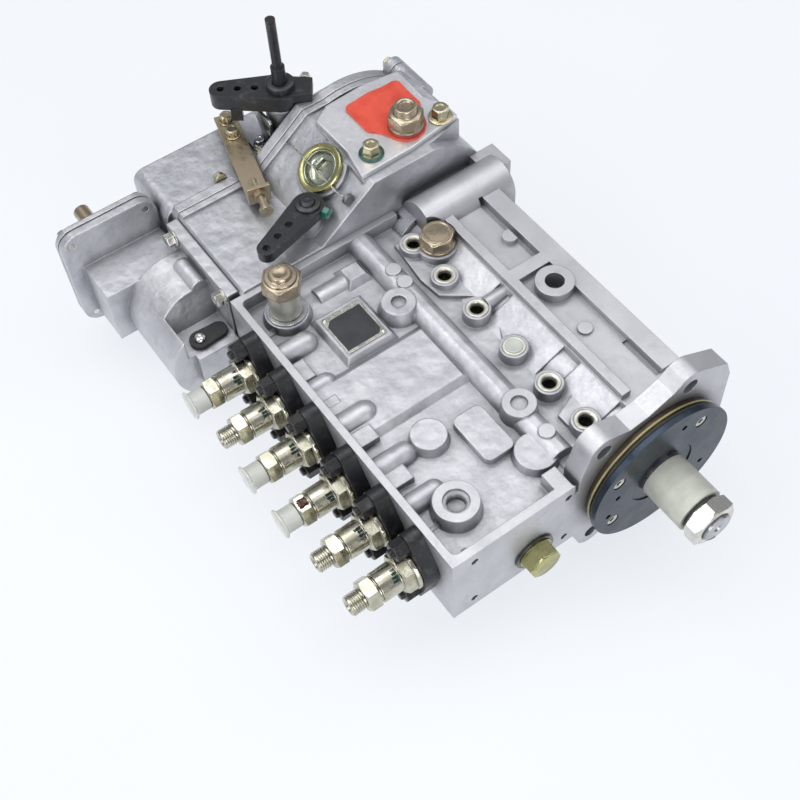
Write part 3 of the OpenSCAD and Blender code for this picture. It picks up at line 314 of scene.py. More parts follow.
@dataclass(frozen=True)
class DarkCoat:
    """Black phosphate or paint with dust and rubbed edges."""

    name: str
    colour: Colour
    rub: Colour
    rough: float
    coat: float = 0.2
    metallic: float = 0.25

    def make(self) -> bpy.types.Material:
        """Builds the material."""
        g = Graph(self.name)
        fine = g.noise(700.0, 4.0, 0.65)
        dust = g.ramp(g.noise(160.0, 4.0, 0.6), 0.5, 0.78)
        base = g.mix(g.math("MULTIPLY", dust, 0.5), self.colour, self.rub)
        base = g.mix(g.ramp(fine, 0.66, 0.8, 0.0, 0.4), base, self.rub)
        roughness = g.ramp(fine, 0.3, 0.75, self.rough - 0.1, self.rough + 0.2)
        return g.surface(Base_Color=base, Metallic=self.metallic, Roughness=roughness,
                         Coat_Weight=self.coat, Coat_Roughness=0.35,
                         Normal=g.bump(fine, 0.00006, 0.5, g.round_edges(0.0008)))


@dataclass(frozen=True)
class MilkyPlastic:
    """Translucent moulded plastic with flow marks."""

    name: str
    colour: Colour
    deep: Colour
    clear: float
    rough: float
    index: float = 1.45

    def make(self) -> bpy.types.Material:
        """Builds the material."""
        g = Graph(self.name)
        flow = g.noise(120.0, 3.0, 0.5, (1.0, 0.25, 1.0))
        base = g.mix(g.ramp(flow, 0.35, 0.65), self.colour, self.deep)
        roughness = g.ramp(flow, 0.3, 0.7, self.rough, self.rough + 0.1)
        normal = g.bump(g.noise(600.0, 2.0), 0.00003, 0.5, g.round_edges(0.0006))
        return g.surface(Base_Color=base, Roughness=roughness, Transmission_Weight=self.clear,
                         IOR=self.index, Normal=normal)


@dataclass(frozen=True)
class SolidPlastic:
    """Opaque rubber, plastic, paint or gasket board."""

    name: str
    colour: Colour
    shade: Colour
    rough: float
    grain: float = 900.0
    depth: float = 0.00004
    coat: float = 0.0

    def make(self) -> bpy.types.Material:
        """Builds the material."""
        g = Graph(self.name)
        fine = g.noise(self.grain, 3.0, 0.6)
        base = g.mix(g.ramp(g.noise(90.0, 3.0, 0.5), 0.35, 0.68), self.colour, self.shade)
        roughness = g.ramp(fine, 0.3, 0.7, self.rough - 0.06, self.rough + 0.1)
        return g.surface(Base_Color=base, Roughness=roughness, Coat_Weight=self.coat,
                         Coat_Roughness=0.15,
                         Normal=g.bump(fine, self.depth, 0.6, g.round_edges(0.0004)))


class Finish(Enum):
    """Every finish of the pump."""

    HOUSING = CastMetal("cast_housing", (0.60, 0.605, 0.632), (0.505, 0.511, 0.54), 0.48,
                        wavy=0.75)
    HOUSING_CUT = CastMetal("cut_housing", (0.585, 0.588, 0.61), (0.52, 0.525, 0.55), 0.48,
                            1500.0, 0.00004, 0.0007, 0.6, 0.05)
    GOVERNOR = CastMetal("cast_governor", (0.605, 0.61, 0.638), (0.50, 0.508, 0.54), 0.46,
                         wavy=0.8)
    LID = CastMetal("machined_lid", (0.86, 0.86, 0.88), (0.77, 0.772, 0.795), 0.38,
                    1800.0, 0.00002, grime_and_shade=0.75, wavy=0.2)
    COMPENSATOR = CastMetal("cast_compensator", (0.625, 0.63, 0.655), (0.525, 0.532, 0.56), 0.47,
                            wavy=0.8)
    COVER_DISC = PlatedSteel("oiled_disc", (0.024, 0.034, 0.050), (0.045, 0.060, 0.082), 0.27,
                             0.85, 60.0, (1.0, 4.0, 4.0))
    COLLAR = PlatedSteel("brown_collar", (0.16, 0.125, 0.085), (0.10, 0.08, 0.06), 0.35)
    ZINC = PlatedSteel("yellow_zinc", (0.60, 0.555, 0.40), (0.46, 0.42, 0.27), 0.25)
    BROWN_ZINC = PlatedSteel("brown_zinc", (0.47, 0.40, 0.30), (0.36, 0.30, 0.215), 0.29)
    BRIGHT = PlatedSteel("bright_zinc", (0.74, 0.735, 0.70), (0.60, 0.585, 0.52), 0.2)
    HOLDER = PlatedSteel("holder_zinc", (0.56, 0.545, 0.46), (0.43, 0.41, 0.315), 0.2)
    SPACER = PlatedSteel("spacer_steel", (0.66, 0.65, 0.585), (0.57, 0.56, 0.49), 0.42)
    GOLD = PlatedSteel("strap_zinc", (0.55, 0.50, 0.335), (0.45, 0.36, 0.26), 0.31, blotch=60.0)
    GREEN_ZINC = PlatedSteel("olive_zinc", (0.50, 0.48, 0.235), (0.38, 0.37, 0.17), 0.24)
    SIGHT = PlatedSteel("sight_core", (0.50, 0.52, 0.44), (0.38, 0.41, 0.33), 0.22)
    STEEL = PlatedSteel("ground_steel", (0.52, 0.53, 0.55), (0.42, 0.43, 0.45), 0.26)
    DARK_STEEL = PlatedSteel("dark_steel", (0.17, 0.17, 0.175), (0.11, 0.11, 0.115), 0.4)
    LEAD = PlatedSteel("lead", (0.30, 0.30, 0.315), (0.2, 0.2, 0.215), 0.5)
    WIRE = PlatedSteel("seal_wire", (0.62, 0.61, 0.58), (0.45, 0.44, 0.41), 0.3)
    COPPER = PlatedSteel("copper", (0.66, 0.36, 0.22), (0.5, 0.25, 0.14), 0.35)
    BLACK = DarkCoat("black_coat", (0.013, 0.0135, 0.0155), (0.09, 0.09, 0.095), 0.4)
    NUT = DarkCoat("nut_coat", (0.012, 0.012, 0.013), (0.10, 0.098, 0.09), 0.3, 0.3)
    LEVER = DarkCoat("lever_coat", (0.018, 0.019, 0.022), (0.11, 0.11, 0.12), 0.36, 0.35)
    CAP = MilkyPlastic("milky_cap", (0.93, 0.95, 0.90), (0.86, 0.89, 0.82), 0.45, 0.3)
    SLEEVE = MilkyPlastic("grey_sleeve", (0.72, 0.735, 0.65), (0.60, 0.62, 0.54), 0.3, 0.32)
    RED_TAG = SolidPlastic("red_tag", (0.70, 0.085, 0.045), (0.60, 0.055, 0.03), 0.34, 500.0,
                           coat=0.3)
    RED_RING = SolidPlastic("red_ring", (0.42, 0.045, 0.035), (0.3, 0.03, 0.025), 0.4)
    RUBBER = SolidPlastic("black_rubber", (0.016, 0.016, 0.017), (0.03, 0.03, 0.031), 0.45)
    OLIVE = SolidPlastic("olive_ring", (0.36, 0.33, 0.15), (0.27, 0.24, 0.10), 0.3, coat=0.5)
    GASKET = SolidPlastic("gasket_board", (0.30, 0.10, 0.07), (0.2, 0.07, 0.05), 0.6)
    PLATE = SolidPlastic("plate_black", (0.02, 0.021, 0.024), (0.032, 0.033, 0.038), 0.38,
                         coat=0.2)
    # Dark glossy colour: the rack plug's washer's own colour, and painted shade lining the open
    # port holes.
    DEEP = SolidPlastic("washer_and_hole_shade", (0.022, 0.026, 0.014), (0.012, 0.014, 0.01), 0.25, coat=0.5)
    GREEN_PAINT = SolidPlastic("green_paint", (0.006, 0.13, 0.085), (0.004, 0.06, 0.04), 0.3,
                               coat=0.6)
    RED_PAINT = SolidPlastic("red_paint", (0.30, 0.09, 0.06), (0.22, 0.06, 0.04), 0.3, coat=0.6)


class Wardrobe:
    """The materials, each made once."""

    def __init__(self) -> None:
        """Starts with no material made."""
        self._made: dict[Finish, bpy.types.Material] = {}

    def get(self, finish: Finish) -> bpy.types.Material:
        """The material of a finish, made when it is first asked for."""
        if finish not in self._made:
            self._made[finish] = finish.value.make()
        return self._made[finish]

    def dress(self, finish: Finish, *nodes: str,
              parts: Sequence[tuple[Callable[[Vector], bool], Finish]] = ()) -> None:
        """Gives CAD nodes their material, and other materials to some of their faces.

        Args:
            finish: The finish of most of their faces.
            *nodes: The nodes' names.
            parts: Tests of a face's centre, and the finish of the faces that pass.
        """
        for node in nodes:
            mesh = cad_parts[node].data
            mesh.materials.clear()
            for each in (finish, *(other for _, other in parts)):
                mesh.materials.append(self.get(each))
            for face in mesh.polygons:
                passed = (i for i, (test, _) in enumerate(parts, 1) if test(face.center))
                face.material_index = next(passed, 0)


WARDROBE = Wardrobe()


# ---- modelling ----


def mm(*points: tuple[float, float]) -> list[tuple[float, float]]:
    """A profile given in millimetres, in metres."""
    return [(r * MM, h * MM) for r, h in points]


def placed(at: Point | Matrix, along: Along) -> Matrix:
    """The place of a turned part, from a point and its axis or from a whole frame."""
    if isinstance(at, Matrix):
        return at
    turn = Vector((0, 0, 1)).rotation_difference(Vector(along.value))
    return Matrix.Translation(at) @ turn.to_matrix().to_4x4()


def turned_z(at: Point, degrees: float) -> Matrix:
    """A place turned round Z."""
    return Matrix.Translation(at) @ Matrix.Rotation(math.radians(degrees), 4, "Z")


@dataclass(frozen=True)
class Flats:
    """Six flats on a turned part, between two heights and within a radius."""

    across: float
    turn: float = 0.0
    low: float = -1.0
    high: float = 1.0
    inside: float = 1.0

    def cut(self, mesh: bmesh.types.BMesh) -> None:
        """Moves what stands past the flats onto them.

        Args:
            mesh: The part, turned round Z.
        """
        for v in mesh.verts:
            reach = math.hypot(v.co.x, v.co.y)
            if not MERGE < reach < self.inside or not self.low <= v.co.z <= self.high:
                continue
            angle = math.atan2(v.co.y, v.co.x) - math.radians(self.turn)
            side = angle % (math.pi / 3) - math.pi / 6
            limit = self.across / 2 / math.cos(side)
            if reach > limit:
                v.co.x *= limit / reach
                v.co.y *= limit / reach


def chamfered(across: float, low: float, high: float, both: bool = True) -> Profile:
    """Profile of a hexagon's turned chamfers, from its lower to its upper face.

    Args:
        across: Width across its flats.
        low: Height of its lower face.
        high: Height of its upper face.
        both: Whether the lower face is chamfered too.

    Returns:
        Radius and height of each point.
    """
    radius = across / ROOT_3
    face = across / 2 * 0.95
    drop = (radius - face) * 0.6
    top = [(radius - i / 4 * (radius - face), high - drop + i / 4 * drop) for i in range(5)]
    if not both:
        return [(radius, low), *top]
    return [(r, low + high - h) for r, h in reversed(top)] + top


class Piece:
    """One new piece of the scene, shaped in a bmesh with its place in its vertices."""

    def __init__(self, name: str) -> None:
        """Starts an empty piece.

        Args:
            name: The piece's name.
        """
        self.name = name
        self.mesh = bmesh.new()

    def spin(self, profile: Profile, at: Point | Matrix, along: Along = Along.Z, steps: int = 48,
             closed: bool = True, flats: Sequence[Flats] = ()) -> None:
        """Turns a profile of radius and height round an axis.

        Args:
            profile: Radius and height of each point, in metres.
            at: Foot of the axis, or its frame.
            along: Direction of the axis.
            steps: Faces round the axis.
            closed: Whether the profile's last point joins its first.
            flats: Hexagons that are cut on it.
        """
        part = bmesh.new()
        start = math.radians(flats[0].turn) if flats else 0.0
        verts = [part.verts.new((r * math.cos(start), r * math.sin(start), h))
                 for r, h in profile]
        pairs = list(zip(verts, verts[1:]))
        if closed:
            pairs.append((verts[-1], verts[0]))
        edges = [part.edges.new(pair) for pair in pairs]
        bmesh.ops.spin(part, geom=[*verts, *edges], cent=(0, 0, 0), axis=(0, 0, 1),
                       angle=2 * math.pi, steps=steps, use_merge=True, use_duplicate=False)
        bmesh.ops.remove_doubles(part, verts=part.verts, dist=MERGE)
        for each in flats:
            each.cut(part)
        self._take(part, placed(at, along))

    def rod(self, radius: float, low: float, high: float, at: Point, along: Along = Along.Z,
            steps: int = 24) -> None:
        """Adds a plain shank, its sizes in millimetres.

        Args:
            radius: Its radius.
            low: Height of its lower end.
            high: Height of its upper end.
            at: Foot of its axis.
            along: Direction of its axis.
            steps: Faces round it.
        """
        self.spin(mm((0, low), (radius, low), (radius, high), (0, high)), at, along, steps, False)

    def hexagon(self, at: Point | Matrix, along: Along, across: float, low: float, high: float,
                turn: float = 0.0, both: bool = False) -> None:
        """Adds a hexagon with turned chamfers.

        Args:
            at: Foot of its axis, or its frame.
            along: Direction of its axis.
            across: Width across its flats.
            low: Height of its lower face.
            high: Height of its upper face.
            turn: Its turn in degrees.
            both: Whether both faces are chamfered.
        """
        profile = [(0.0, low), *chamfered(across, low, high, both), (0.0, high)]
        self.spin(profile, at, along, 48, False, [Flats(across, turn)])

    def flange_bolt(self, at: Point | Matrix, along: Along, across: float, flange: float,
                    height: float, turn: float = 0.0) -> None:
        """Adds a bolt head with a washer face, its seat at the foot.

        Args:
            at: Centre of its seat, or its frame.
            along: Direction of its axis.
            across: Width across its flats.
            flange: Radius of the washer face.
            height: Height of the head.
            turn: Its turn in degrees.
        """
        lip, sunk = 0.0016, 0.0002
        dish, deep = across * 0.3, height - 0.0005
        self.spin([(0.0, 0.0), (flange - 0.0003, 0.0), (flange, 0.0003), (flange, 0.0008),
                   (across * 0.56, lip), (0.0, lip)], at, along, 40, False)
        self.spin([(0.0, lip - sunk), *chamfered(across, lip - sunk, height, False),
                   (dish, height), (dish * 0.8, deep), (0.0, deep)],
                  at, along, 48, False, [Flats(across, turn)])

    def patch(self, x: float, radius: float, angle: float, width: float, low: float,
              high: float, seed: int) -> None:
        """Adds a thin coat of paint on a valve holder.

        Args:
            x: Place of the holder's axis.
            radius: Radius of the surface.
            angle: Where its middle is, in degrees.
            width: Its width round the axis.
            low: Its lower height.
            high: Its upper height.
            seed: Seed of its uneven edge.
        """
        rng = random.Random(seed)
        waves = [rng.uniform(0.0, 6.28) for _ in range(3)]
        part = bmesh.new()
        bmesh.ops.create_grid(part, x_segments=16, y_segments=10, size=1.0)
        for v in part.verts:
            u, w = v.co.x, v.co.y
            edge = 1 + 0.12 * math.sin(4 * w + waves[0]) + 0.08 * math.sin(7 * u + waves[1])
            turn = math.radians(angle) + u * edge * width / 2 / radius
            lift = 0.00012 * (1 - max(abs(u), abs(w)) ** 6) + 0.00004
            v.co = Vector(((radius + lift) * math.cos(turn), (radius + lift) * math.sin(turn),
                           (low + high) / 2 + w * edge * (high - low) / 2))
        bmesh.ops.solidify(part, geom=part.faces[:], thickness=0.00006)
        self._take(part, placed((x, 0, 0), Along.OUT))

    def helix(self, radius: float, pitch: float, length: float, height: float, at: Point,
              along: Along, steps: int = 28) -> None:
        """Winds the ridge of a thread round an axis.

        Args:
            radius: Radius at the foot of the ridge.
            pitch: Rise of one turn.
            length: Length along the axis.
            height: Height of the ridge.
            at: Foot of the axis.
            along: Direction of the axis.
            steps: Faces of one turn.
        """
        part = bmesh.new()
        half, foot = pitch * 0.44, radius - 0.0002
        verts = [part.verts.new(p) for p in
                 ((foot, 0, 0), (radius + height, 0, half), (foot, 0, 2 * half))]
        edges = [part.edges.new((verts[i], verts[(i + 1) % 3])) for i in range(3)]
        face = part.faces.new(verts)
        turns = max(1.0, (length - 2 * half) / pitch)
        bmesh.ops.spin(part, geom=[face, *edges, *verts], cent=(0, 0, 0), axis=(0, 0, 1),
                       dvec=(0, 0, pitch / steps), angle=2 * math.pi * turns,
                       steps=int(steps * turns), use_merge=False, use_duplicate=False)
        self._take(part, placed(at, along))

    def tube(self, points: Sequence[Point], radius: float, sides: int) -> None:
        """Sweeps a round wire along points.

        Args:
            points: The wire's centre line.
            radius: The wire's radius.
            sides: Faces round the wire.
        """
        part = bmesh.new()
        rings = []
        angles = [2 * math.pi * k / sides for k in range(sides)]
        for i, p in enumerate(points):
            ahead = Vector(points[min(i + 1, len(points) - 1)]) - Vector(points[max(i - 1, 0)])
            turn = Vector((0, 0, 1)).rotation_difference(ahead.normalized()).to_matrix()
            rings.append([part.verts.new(Vector(p) + turn @ Vector(
                (radius * math.cos(a), radius * math.sin(a), 0))) for a in angles])
        for pair in zip(rings, rings[1:]):
            edges = [part.edges.get(ends) or part.edges.new(ends)
                     for ring in pair for ends in zip(ring, ring[1:] + ring[:1])]
            bmesh.ops.bridge_loops(part, edges=edges)
        part.faces.new(rings[0][::-1])
        part.faces.new(rings[-1])
        self._take(part)

    def slab(self, outline: Profile, low: float, high: float, place: Matrix = STAY,
             bevel: float = 0.0) -> None:
        """Raises a flat outline into a slab.

        Args:
            outline: Corners in the XY plane.
            low: Its lower face.
            high: Its upper face.
            place: Where the slab goes.
            bevel: Width of its bevelled edges.
        """
        part = bmesh.new()
        face = part.faces.new([part.verts.new((x, y, low)) for x, y in outline])
        raised = bmesh.ops.extrude_face_region(part, geom=[face])
        bmesh.ops.translate(part, vec=(0, 0, high - low),
                            verts=[v for v in raised["geom"] if isinstance(v, bmesh.types.BMVert)])
        if bevel:
            bmesh.ops.recalc_face_normals(part, faces=part.faces)
            bmesh.ops.bevel(part, geom=list(part.edges), offset=bevel, affect="EDGES",
                            segments=3, profile=0.5, material=-1)
        self._take(part, place)

    def _take(self, part: bmesh.types.BMesh, place: Matrix = STAY) -> None:
        """Moves another bmesh into the piece, with its faces turned outwards."""
        bmesh.ops.recalc_face_normals(part, faces=part.faces)
        part.transform(place)
        holder = bpy.data.meshes.new("part")
        part.to_mesh(holder)
        part.free()
        self.mesh.from_mesh(holder)
        bpy.data.meshes.remove(holder)

    def finish(self, finish: Finish, slot: str, body: str = CASING, *instead_of: str) -> None:
        """Makes the piece an object that rides on a body.

        Args:
            finish: Its finish.
            slot: The record's material slot; not used.
            body: The body that carries it.
            *instead_of: CAD nodes that it stands for.
        """
        data = bpy.data.meshes.new(self.name)
        self.mesh.to_mesh(data)
        self.mesh.free()
        for face in data.polygons:
            face.use_smooth = True
        data.set_sharp_from_angle(angle=SHARP)
        data.materials.append(WARDROBE.get(finish))
        obj = bpy.data.objects.new(self.name, data)
        bpy.context.scene.collection.objects.link(obj)
        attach(obj, body)
        if instead_of:
            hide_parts(*instead_of)
        LOG.info("%s: %d faces on %s", self.name, len(data.polygons), body)


@dataclass(frozen=True)
class Turned:
    """A whole piece of one turned profile, closed to a ring unless it starts on its axis."""

    name: str
    profile: Profile
    at: Point | Matrix
    along: Along = Along.Z
    steps: int = 48
    flats: tuple[Flats, ...] = ()

    def finish(self, finish: Finish, slot: str, body: str = CASING, *instead_of: str) -> None:
        """Makes it an object.

        Args:
            finish: Its finish.
            slot: The record's material slot; not used.
            body: The body that carries it.
            *instead_of: CAD nodes that it stands for.
        """
        piece = Piece(self.name)
        on_axis = self.profile[0][0] == 0.0
        piece.spin(self.profile, self.at, self.along, self.steps, not on_axis, self.flats)
        piece.finish(finish, slot, body, *instead_of)


# ---- sub-assemblies ----


@dataclass
class PumpHousing:
    """The main casting with its base cover, plate, ports and screws."""

    ports: tuple[float, ...] = (-0.0325, -0.0675, -0.1025, -0.141, -0.176, -0.211)
    port_y: float = -0.0256
    plugged: int = 2
    plate: tuple[float, float, float, float] = (-0.197, -0.1635, -0.111, -0.081)
    plate_top: float = 0.0241
    base_screws: tuple[float, ...] = tuple(-0.199 + i * 0.0285 for i in range(7))
    base_screw_z: float = 0.016
    lid_screws: tuple[Point, Point] = ((-0.2625, 0.036, 0.068), (-0.263, -0.021, 0.068))
    lug_screw: Point = (-0.336, 0.047, 0.056)
    inlet: Point = (-0.0342, -0.1228, 0.0)
    pocket_floor: float = 0.0179
    stud_ends: tuple[tuple[float, ...], ...] = (
        (-0.11292, -0.10108, -0.14692, -0.13108, 0.02382),
        (-0.07692, -0.06508, -0.14692, -0.13108, 0.02382),
        (-0.17992, -0.16408, -0.14692, -0.13608, 0.02232),
        (-0.14462, -0.13758, -0.14412, -0.13478, 0.02231))

    def build(self) -> None:
        """Adds the plate's field and rivets, the ports' parts and the casing's screws."""
        self._plate()
        self._ports()
        self._openings()
        self._screws()

    def _plate(self) -> None:
        """The plate's dark bare field and two rivets."""
        x0, x1, y0, y1 = self.plate
        a, b, c, d = x0 + 0.0036, x1 - 0.0022, y0 + 0.0011, y1 - 0.0018
        sheet = Piece("plate_field")
        sheet.slab([(a, c + 0.004), (a + 0.004, c), (b, c), (b, d - 0.003), (b - 0.003, d),
                    (a, d)], self.plate_top - 0.0001, self.plate_top + 0.00008)
        sheet.finish(Finish.PLATE, "plate")
        rivets = Piece("plate_rivets")
        for x, y in ((x0 + 0.002, y0 + 0.002), (x1 - 0.002, y1 - 0.002)):
            rivets.spin(mm((0, 0), (1.5, 0), (1.3, 0.6), (0.7, 1.0), (0, 1.1)),
                        (x, y, self.plate_top), Along.Z, 20, False)
        rivets.finish(Finish.BRIGHT, "steel")

    def _ports(self) -> None:
        """Pressed rings with rolled edges, and dark cups inside them that paint the shade of the
        open holes.
        """
        rings = Piece("port_collars")
        cups = Piece("port_shade_cups")
        rim = mm((4.5, 24.6), (5.78, 24.5), (5.8, 25.2), (7.6, 25.2), (7.6, 28.3), (7.35, 28.7),
                 (7, 28.8), (5.9, 28.75), (5.1, 28.4), (4.6, 27.7))
        # Painted shade: a dark cup lines each open hole.
        cup = mm((0, 17.3), (5.2, 17.3), (5.65, 17.8), (5.75, 24.5), (5.79, 24.5), (5.79, 17.2),
                 (0, 17.2))
        for i, x in enumerate(self.ports):
            rings.spin(rim, (x, self.port_y, 0), Along.Z, 44)
            if i != self.plugged:
                cups.spin(cup, (x, self.port_y, 0), Along.Z, 40)
        rings.finish(Finish.SPACER, "steel", CASING, "port_rings")
        cups.finish(Finish.DEEP, "rubber")

    def _openings(self) -> None:
        """The inlet's thread, and metal over the stud holes that come through the rim."""
        inlet = Piece("inlet_thread")
        inlet.spin(mm((0, 20.4), (5.0, 20.4), (5.9, 20.9), (6.1, 27.2), (6.5, 27.6), (6.49, 20),
                      (0, 20)), self.inlet)
        for turn in range(3):
            z = 23.2 + 1.5 * turn
            inlet.spin(mm((6.1, z - 0.6), (5.6, z), (6.1, z + 0.6)), self.inlet)
        inlet.finish(Finish.HOUSING_CUT, "casting")
        stops = Piece("stud_hole_ends")
        for x0, x1, y0, y1, top in self.stud_ends:
            stops.slab([(x0, y0), (x1, y0), (x1, y1), (x0, y1)], self.pocket_floor, top)
        stops.finish(Finish.HOUSING, "casting")

    def _screws(self) -> None:
        """Lid bolts, the screw of the governor's lug and the base cover's socket screws."""
        part = Piece("casing_bolts")
        for at, turn in zip(self.lid_screws, (10, 25)):
            part.flange_bolt(at, Along.Z, 0.0105, 0.0086, 0.009, turn)
            part.rod(2.9, -12, 0.1, at)
        part.flange_bolt(self.lug_screw, Along.BACK, 0.008, 0.0055, 0.006, 5)
        part.rod(2.4, -12, 0.1, self.lug_screw, Along.BACK)
        head = mm((0, 39), (2.9, 39), (2.9, 49.5), (4.8, 49.5), (4.8, 51.2), (4.4, 51.6),
                  (2.6, 51.6), (2.31, 51.3), (2.31, 49.9), (0, 49.7))
        socket = Flats(0.004, 0.0, 0.0498, 0.0514, 0.0025)
        for x in self.base_screws:
            for z in (-self.base_screw_z, self.base_screw_z):
                part.spin(head, (x, 0, z), Along.Y, 36, False, [socket])
        part.finish(Finish.ZINC, "zinc", CASING, "casing_screws")
        Turned("lid_paint", mm((6.3, 1.66), (8.0, 1.0), (8.72, 0.85), (8.75, 0.2), (8.68, 0.2),
                               (8.5, 0.9), (6.3, 1.5)), self.lid_screws[1], steps=40
               ).finish(Finish.GREEN_PAINT, "red_plastic")

    def dress(self) -> None:
        """Gives the castings and the plate their finishes."""
        WARDROBE.dress(Finish.HOUSING, "pump_housing", parts=[
            (lambda c: c.z > 0.02925 or c.x > -0.0003 or c.y < -0.1508, Finish.HOUSING_CUT)])
        WARDROBE.dress(Finish.HOUSING, "base_cover")
        WARDROBE.dress(Finish.BRIGHT, "nameplate")


@dataclass
class DeliveryRow:
    """The six delivery valves with their flanges, nuts, threads, caps and paint marks."""

    cylinders: tuple[float, ...] = (-0.0289, -0.0639, -0.0989, -0.1374, -0.1724, -0.2074)
    capped: tuple[int, ...] = (2, 3, 5)
    red_marked: int = 2
    port_plug: Point = (-0.1025, -0.0256, 0.0)
    stud_r: float = 0.0213
    stud_turn: float = -10.0
    lower: float = 0.024
    upper: float = 0.019

    def build(self) -> None:
        """Adds the holders, the nuts with their studs, the caps and the paint marks."""
        self._holders()
        self._nuts()
        self._caps()
        self._paint()

    def _holders(self) -> None:
        """Valve holders with two hexagons, a groove and an outlet thread."""
        part = Piece("holder_bodies")
        profile = [*mm((4.2, 157), (9.45, 157), (9.45, 161.5), (14.1, 161.5), (14.5, 161.9),
                       (14.5, 164.1), (14.2, 164.5)),
                   *chamfered(self.lower, 0.1647, 0.172, False),
                   *mm((10.3, 172), (10, 172.3), (10, 185.6), (9.6, 186), (8.9, 186.2), (8.8, 187)),
                   *chamfered(self.upper, 0.187, 0.196),
                   *mm((6.6, 196), (6.4, 197), (6.4, 205.4), (5.8, 206), (4.4, 206),
                       (1.4, 202.7), (1.5, 182), (4.2, 181))]
        flats = [Flats(self.lower, -15, 0.16465, 0.17201), Flats(self.upper, -5, 0.18701, 0.19601)]
        for x in self.cylinders:
            part.spin(profile, (x, 0, 0), Along.OUT, 72, True, flats)
            part.helix(0.0063, 0.0015, 0.0088, 0.0007, (x, -0.1968, 0), Along.OUT)
        part.finish(Finish.HOLDER, "zinc", CASING, "valve_holders")

    def _nuts(self) -> None:
        """Black nuts, each turned its own way, on threaded studs."""
        rng = random.Random(7)
        part = Piece("stud_nuts")
        for x in self.cylinders:
            for side in (0.0, math.pi):
                a = math.radians(self.stud_turn) + side
                foot = (x + self.stud_r * math.sin(a), 0, self.stud_r * math.cos(a))
                part.hexagon(foot, Along.OUT, 0.0115, 0.1616, 0.1705, rng.uniform(0, 60))
                part.rod(3.2, 146, 161.7, foot, Along.OUT)
                part.spin(mm((0, 170.4), (2.95, 170.4), (2.95, 172.4), (2.4, 173), (0, 173)),
                          foot, Along.OUT, 24, False)
                part.helix(0.0028, 0.001, 0.0022, 0.0004, (foot[0], -0.1704, foot[2]),
                           Along.OUT, 16)
        part.finish(Finish.NUT, "black_coat", CASING, "flange_nuts")

    def _caps(self) -> None:
        """Milky caps with a pulling rim and a dished end, and the plug of one port."""
        part = Piece("outlet_covers")
        cap = mm((7.05, 196.4), (7.95, 196.4), (8.0, 197), (8.0, 205.6), (8.3, 206.6),
                 (9.5, 207.2), (9.95, 207.6), (10, 208), (9.8, 208.5), (9.0, 208.4), (7.4, 207.9),
                 (3.0, 207.4), (0, 207.3), (0, 206.3), (6.4, 206.3), (7.05, 205.6))
        for i in self.capped:
            part.spin(cap, (self.cylinders[i], 0, 0), Along.OUT, 48, False)
        part.spin(mm((0, 19), (5.5, 19), (5.7, 19.4), (5.78, 28.4), (5.5, 29), (4.8, 29.2),
                     (4.3, 28.9), (0, 28.5)), self.port_plug, Along.Z, 40, False)
        part.finish(Finish.CAP, "clear_plastic", CASING, "transport_caps")

    def _paint(self) -> None:
        """Green marks on the holders, brushed in lines, and one reddish mark."""
        green = Piece("valve_paint")
        for i, x in enumerate(self.cylinders):
            middle = 62 + 14 * math.sin(i * 2.3)
            for k in range(3):
                green.patch(x, 0.01, middle - 13 + 13 * k, 0.0019, 0.1726,
                            0.1776 - 0.0007 * ((i + k) % 3), 11 + i * 3 + k)
        green.finish(Finish.GREEN_PAINT, "red_plastic")
        red = Piece("valve_paint_red")
        red.patch(self.cylinders[self.red_marked], 0.01095, 85, 0.005, 0.1885, 0.1945, 31)
        red.finish(Finish.RED_PAINT, "red_plastic")

    def dress(self) -> None:
        """Gives the valve parts and what drives them their finishes."""
        WARDROBE.dress(Finish.BLACK, "barrel_flanges")
        WARDROBE.dress(Finish.DARK_STEEL, "plunger_springs")
        WARDROBE.dress(Finish.STEEL, "delivery_valves",
                       parts=[(lambda c: c.y < -0.1562, Finish.COPPER)])
        moving = [f"{kind}_{n}" for n in range(1, 7) for kind in ("tappet", "control_sleeve")]
        WARDROBE.dress(Finish.STEEL, "plunger_barrels", "control_rack", *moving)


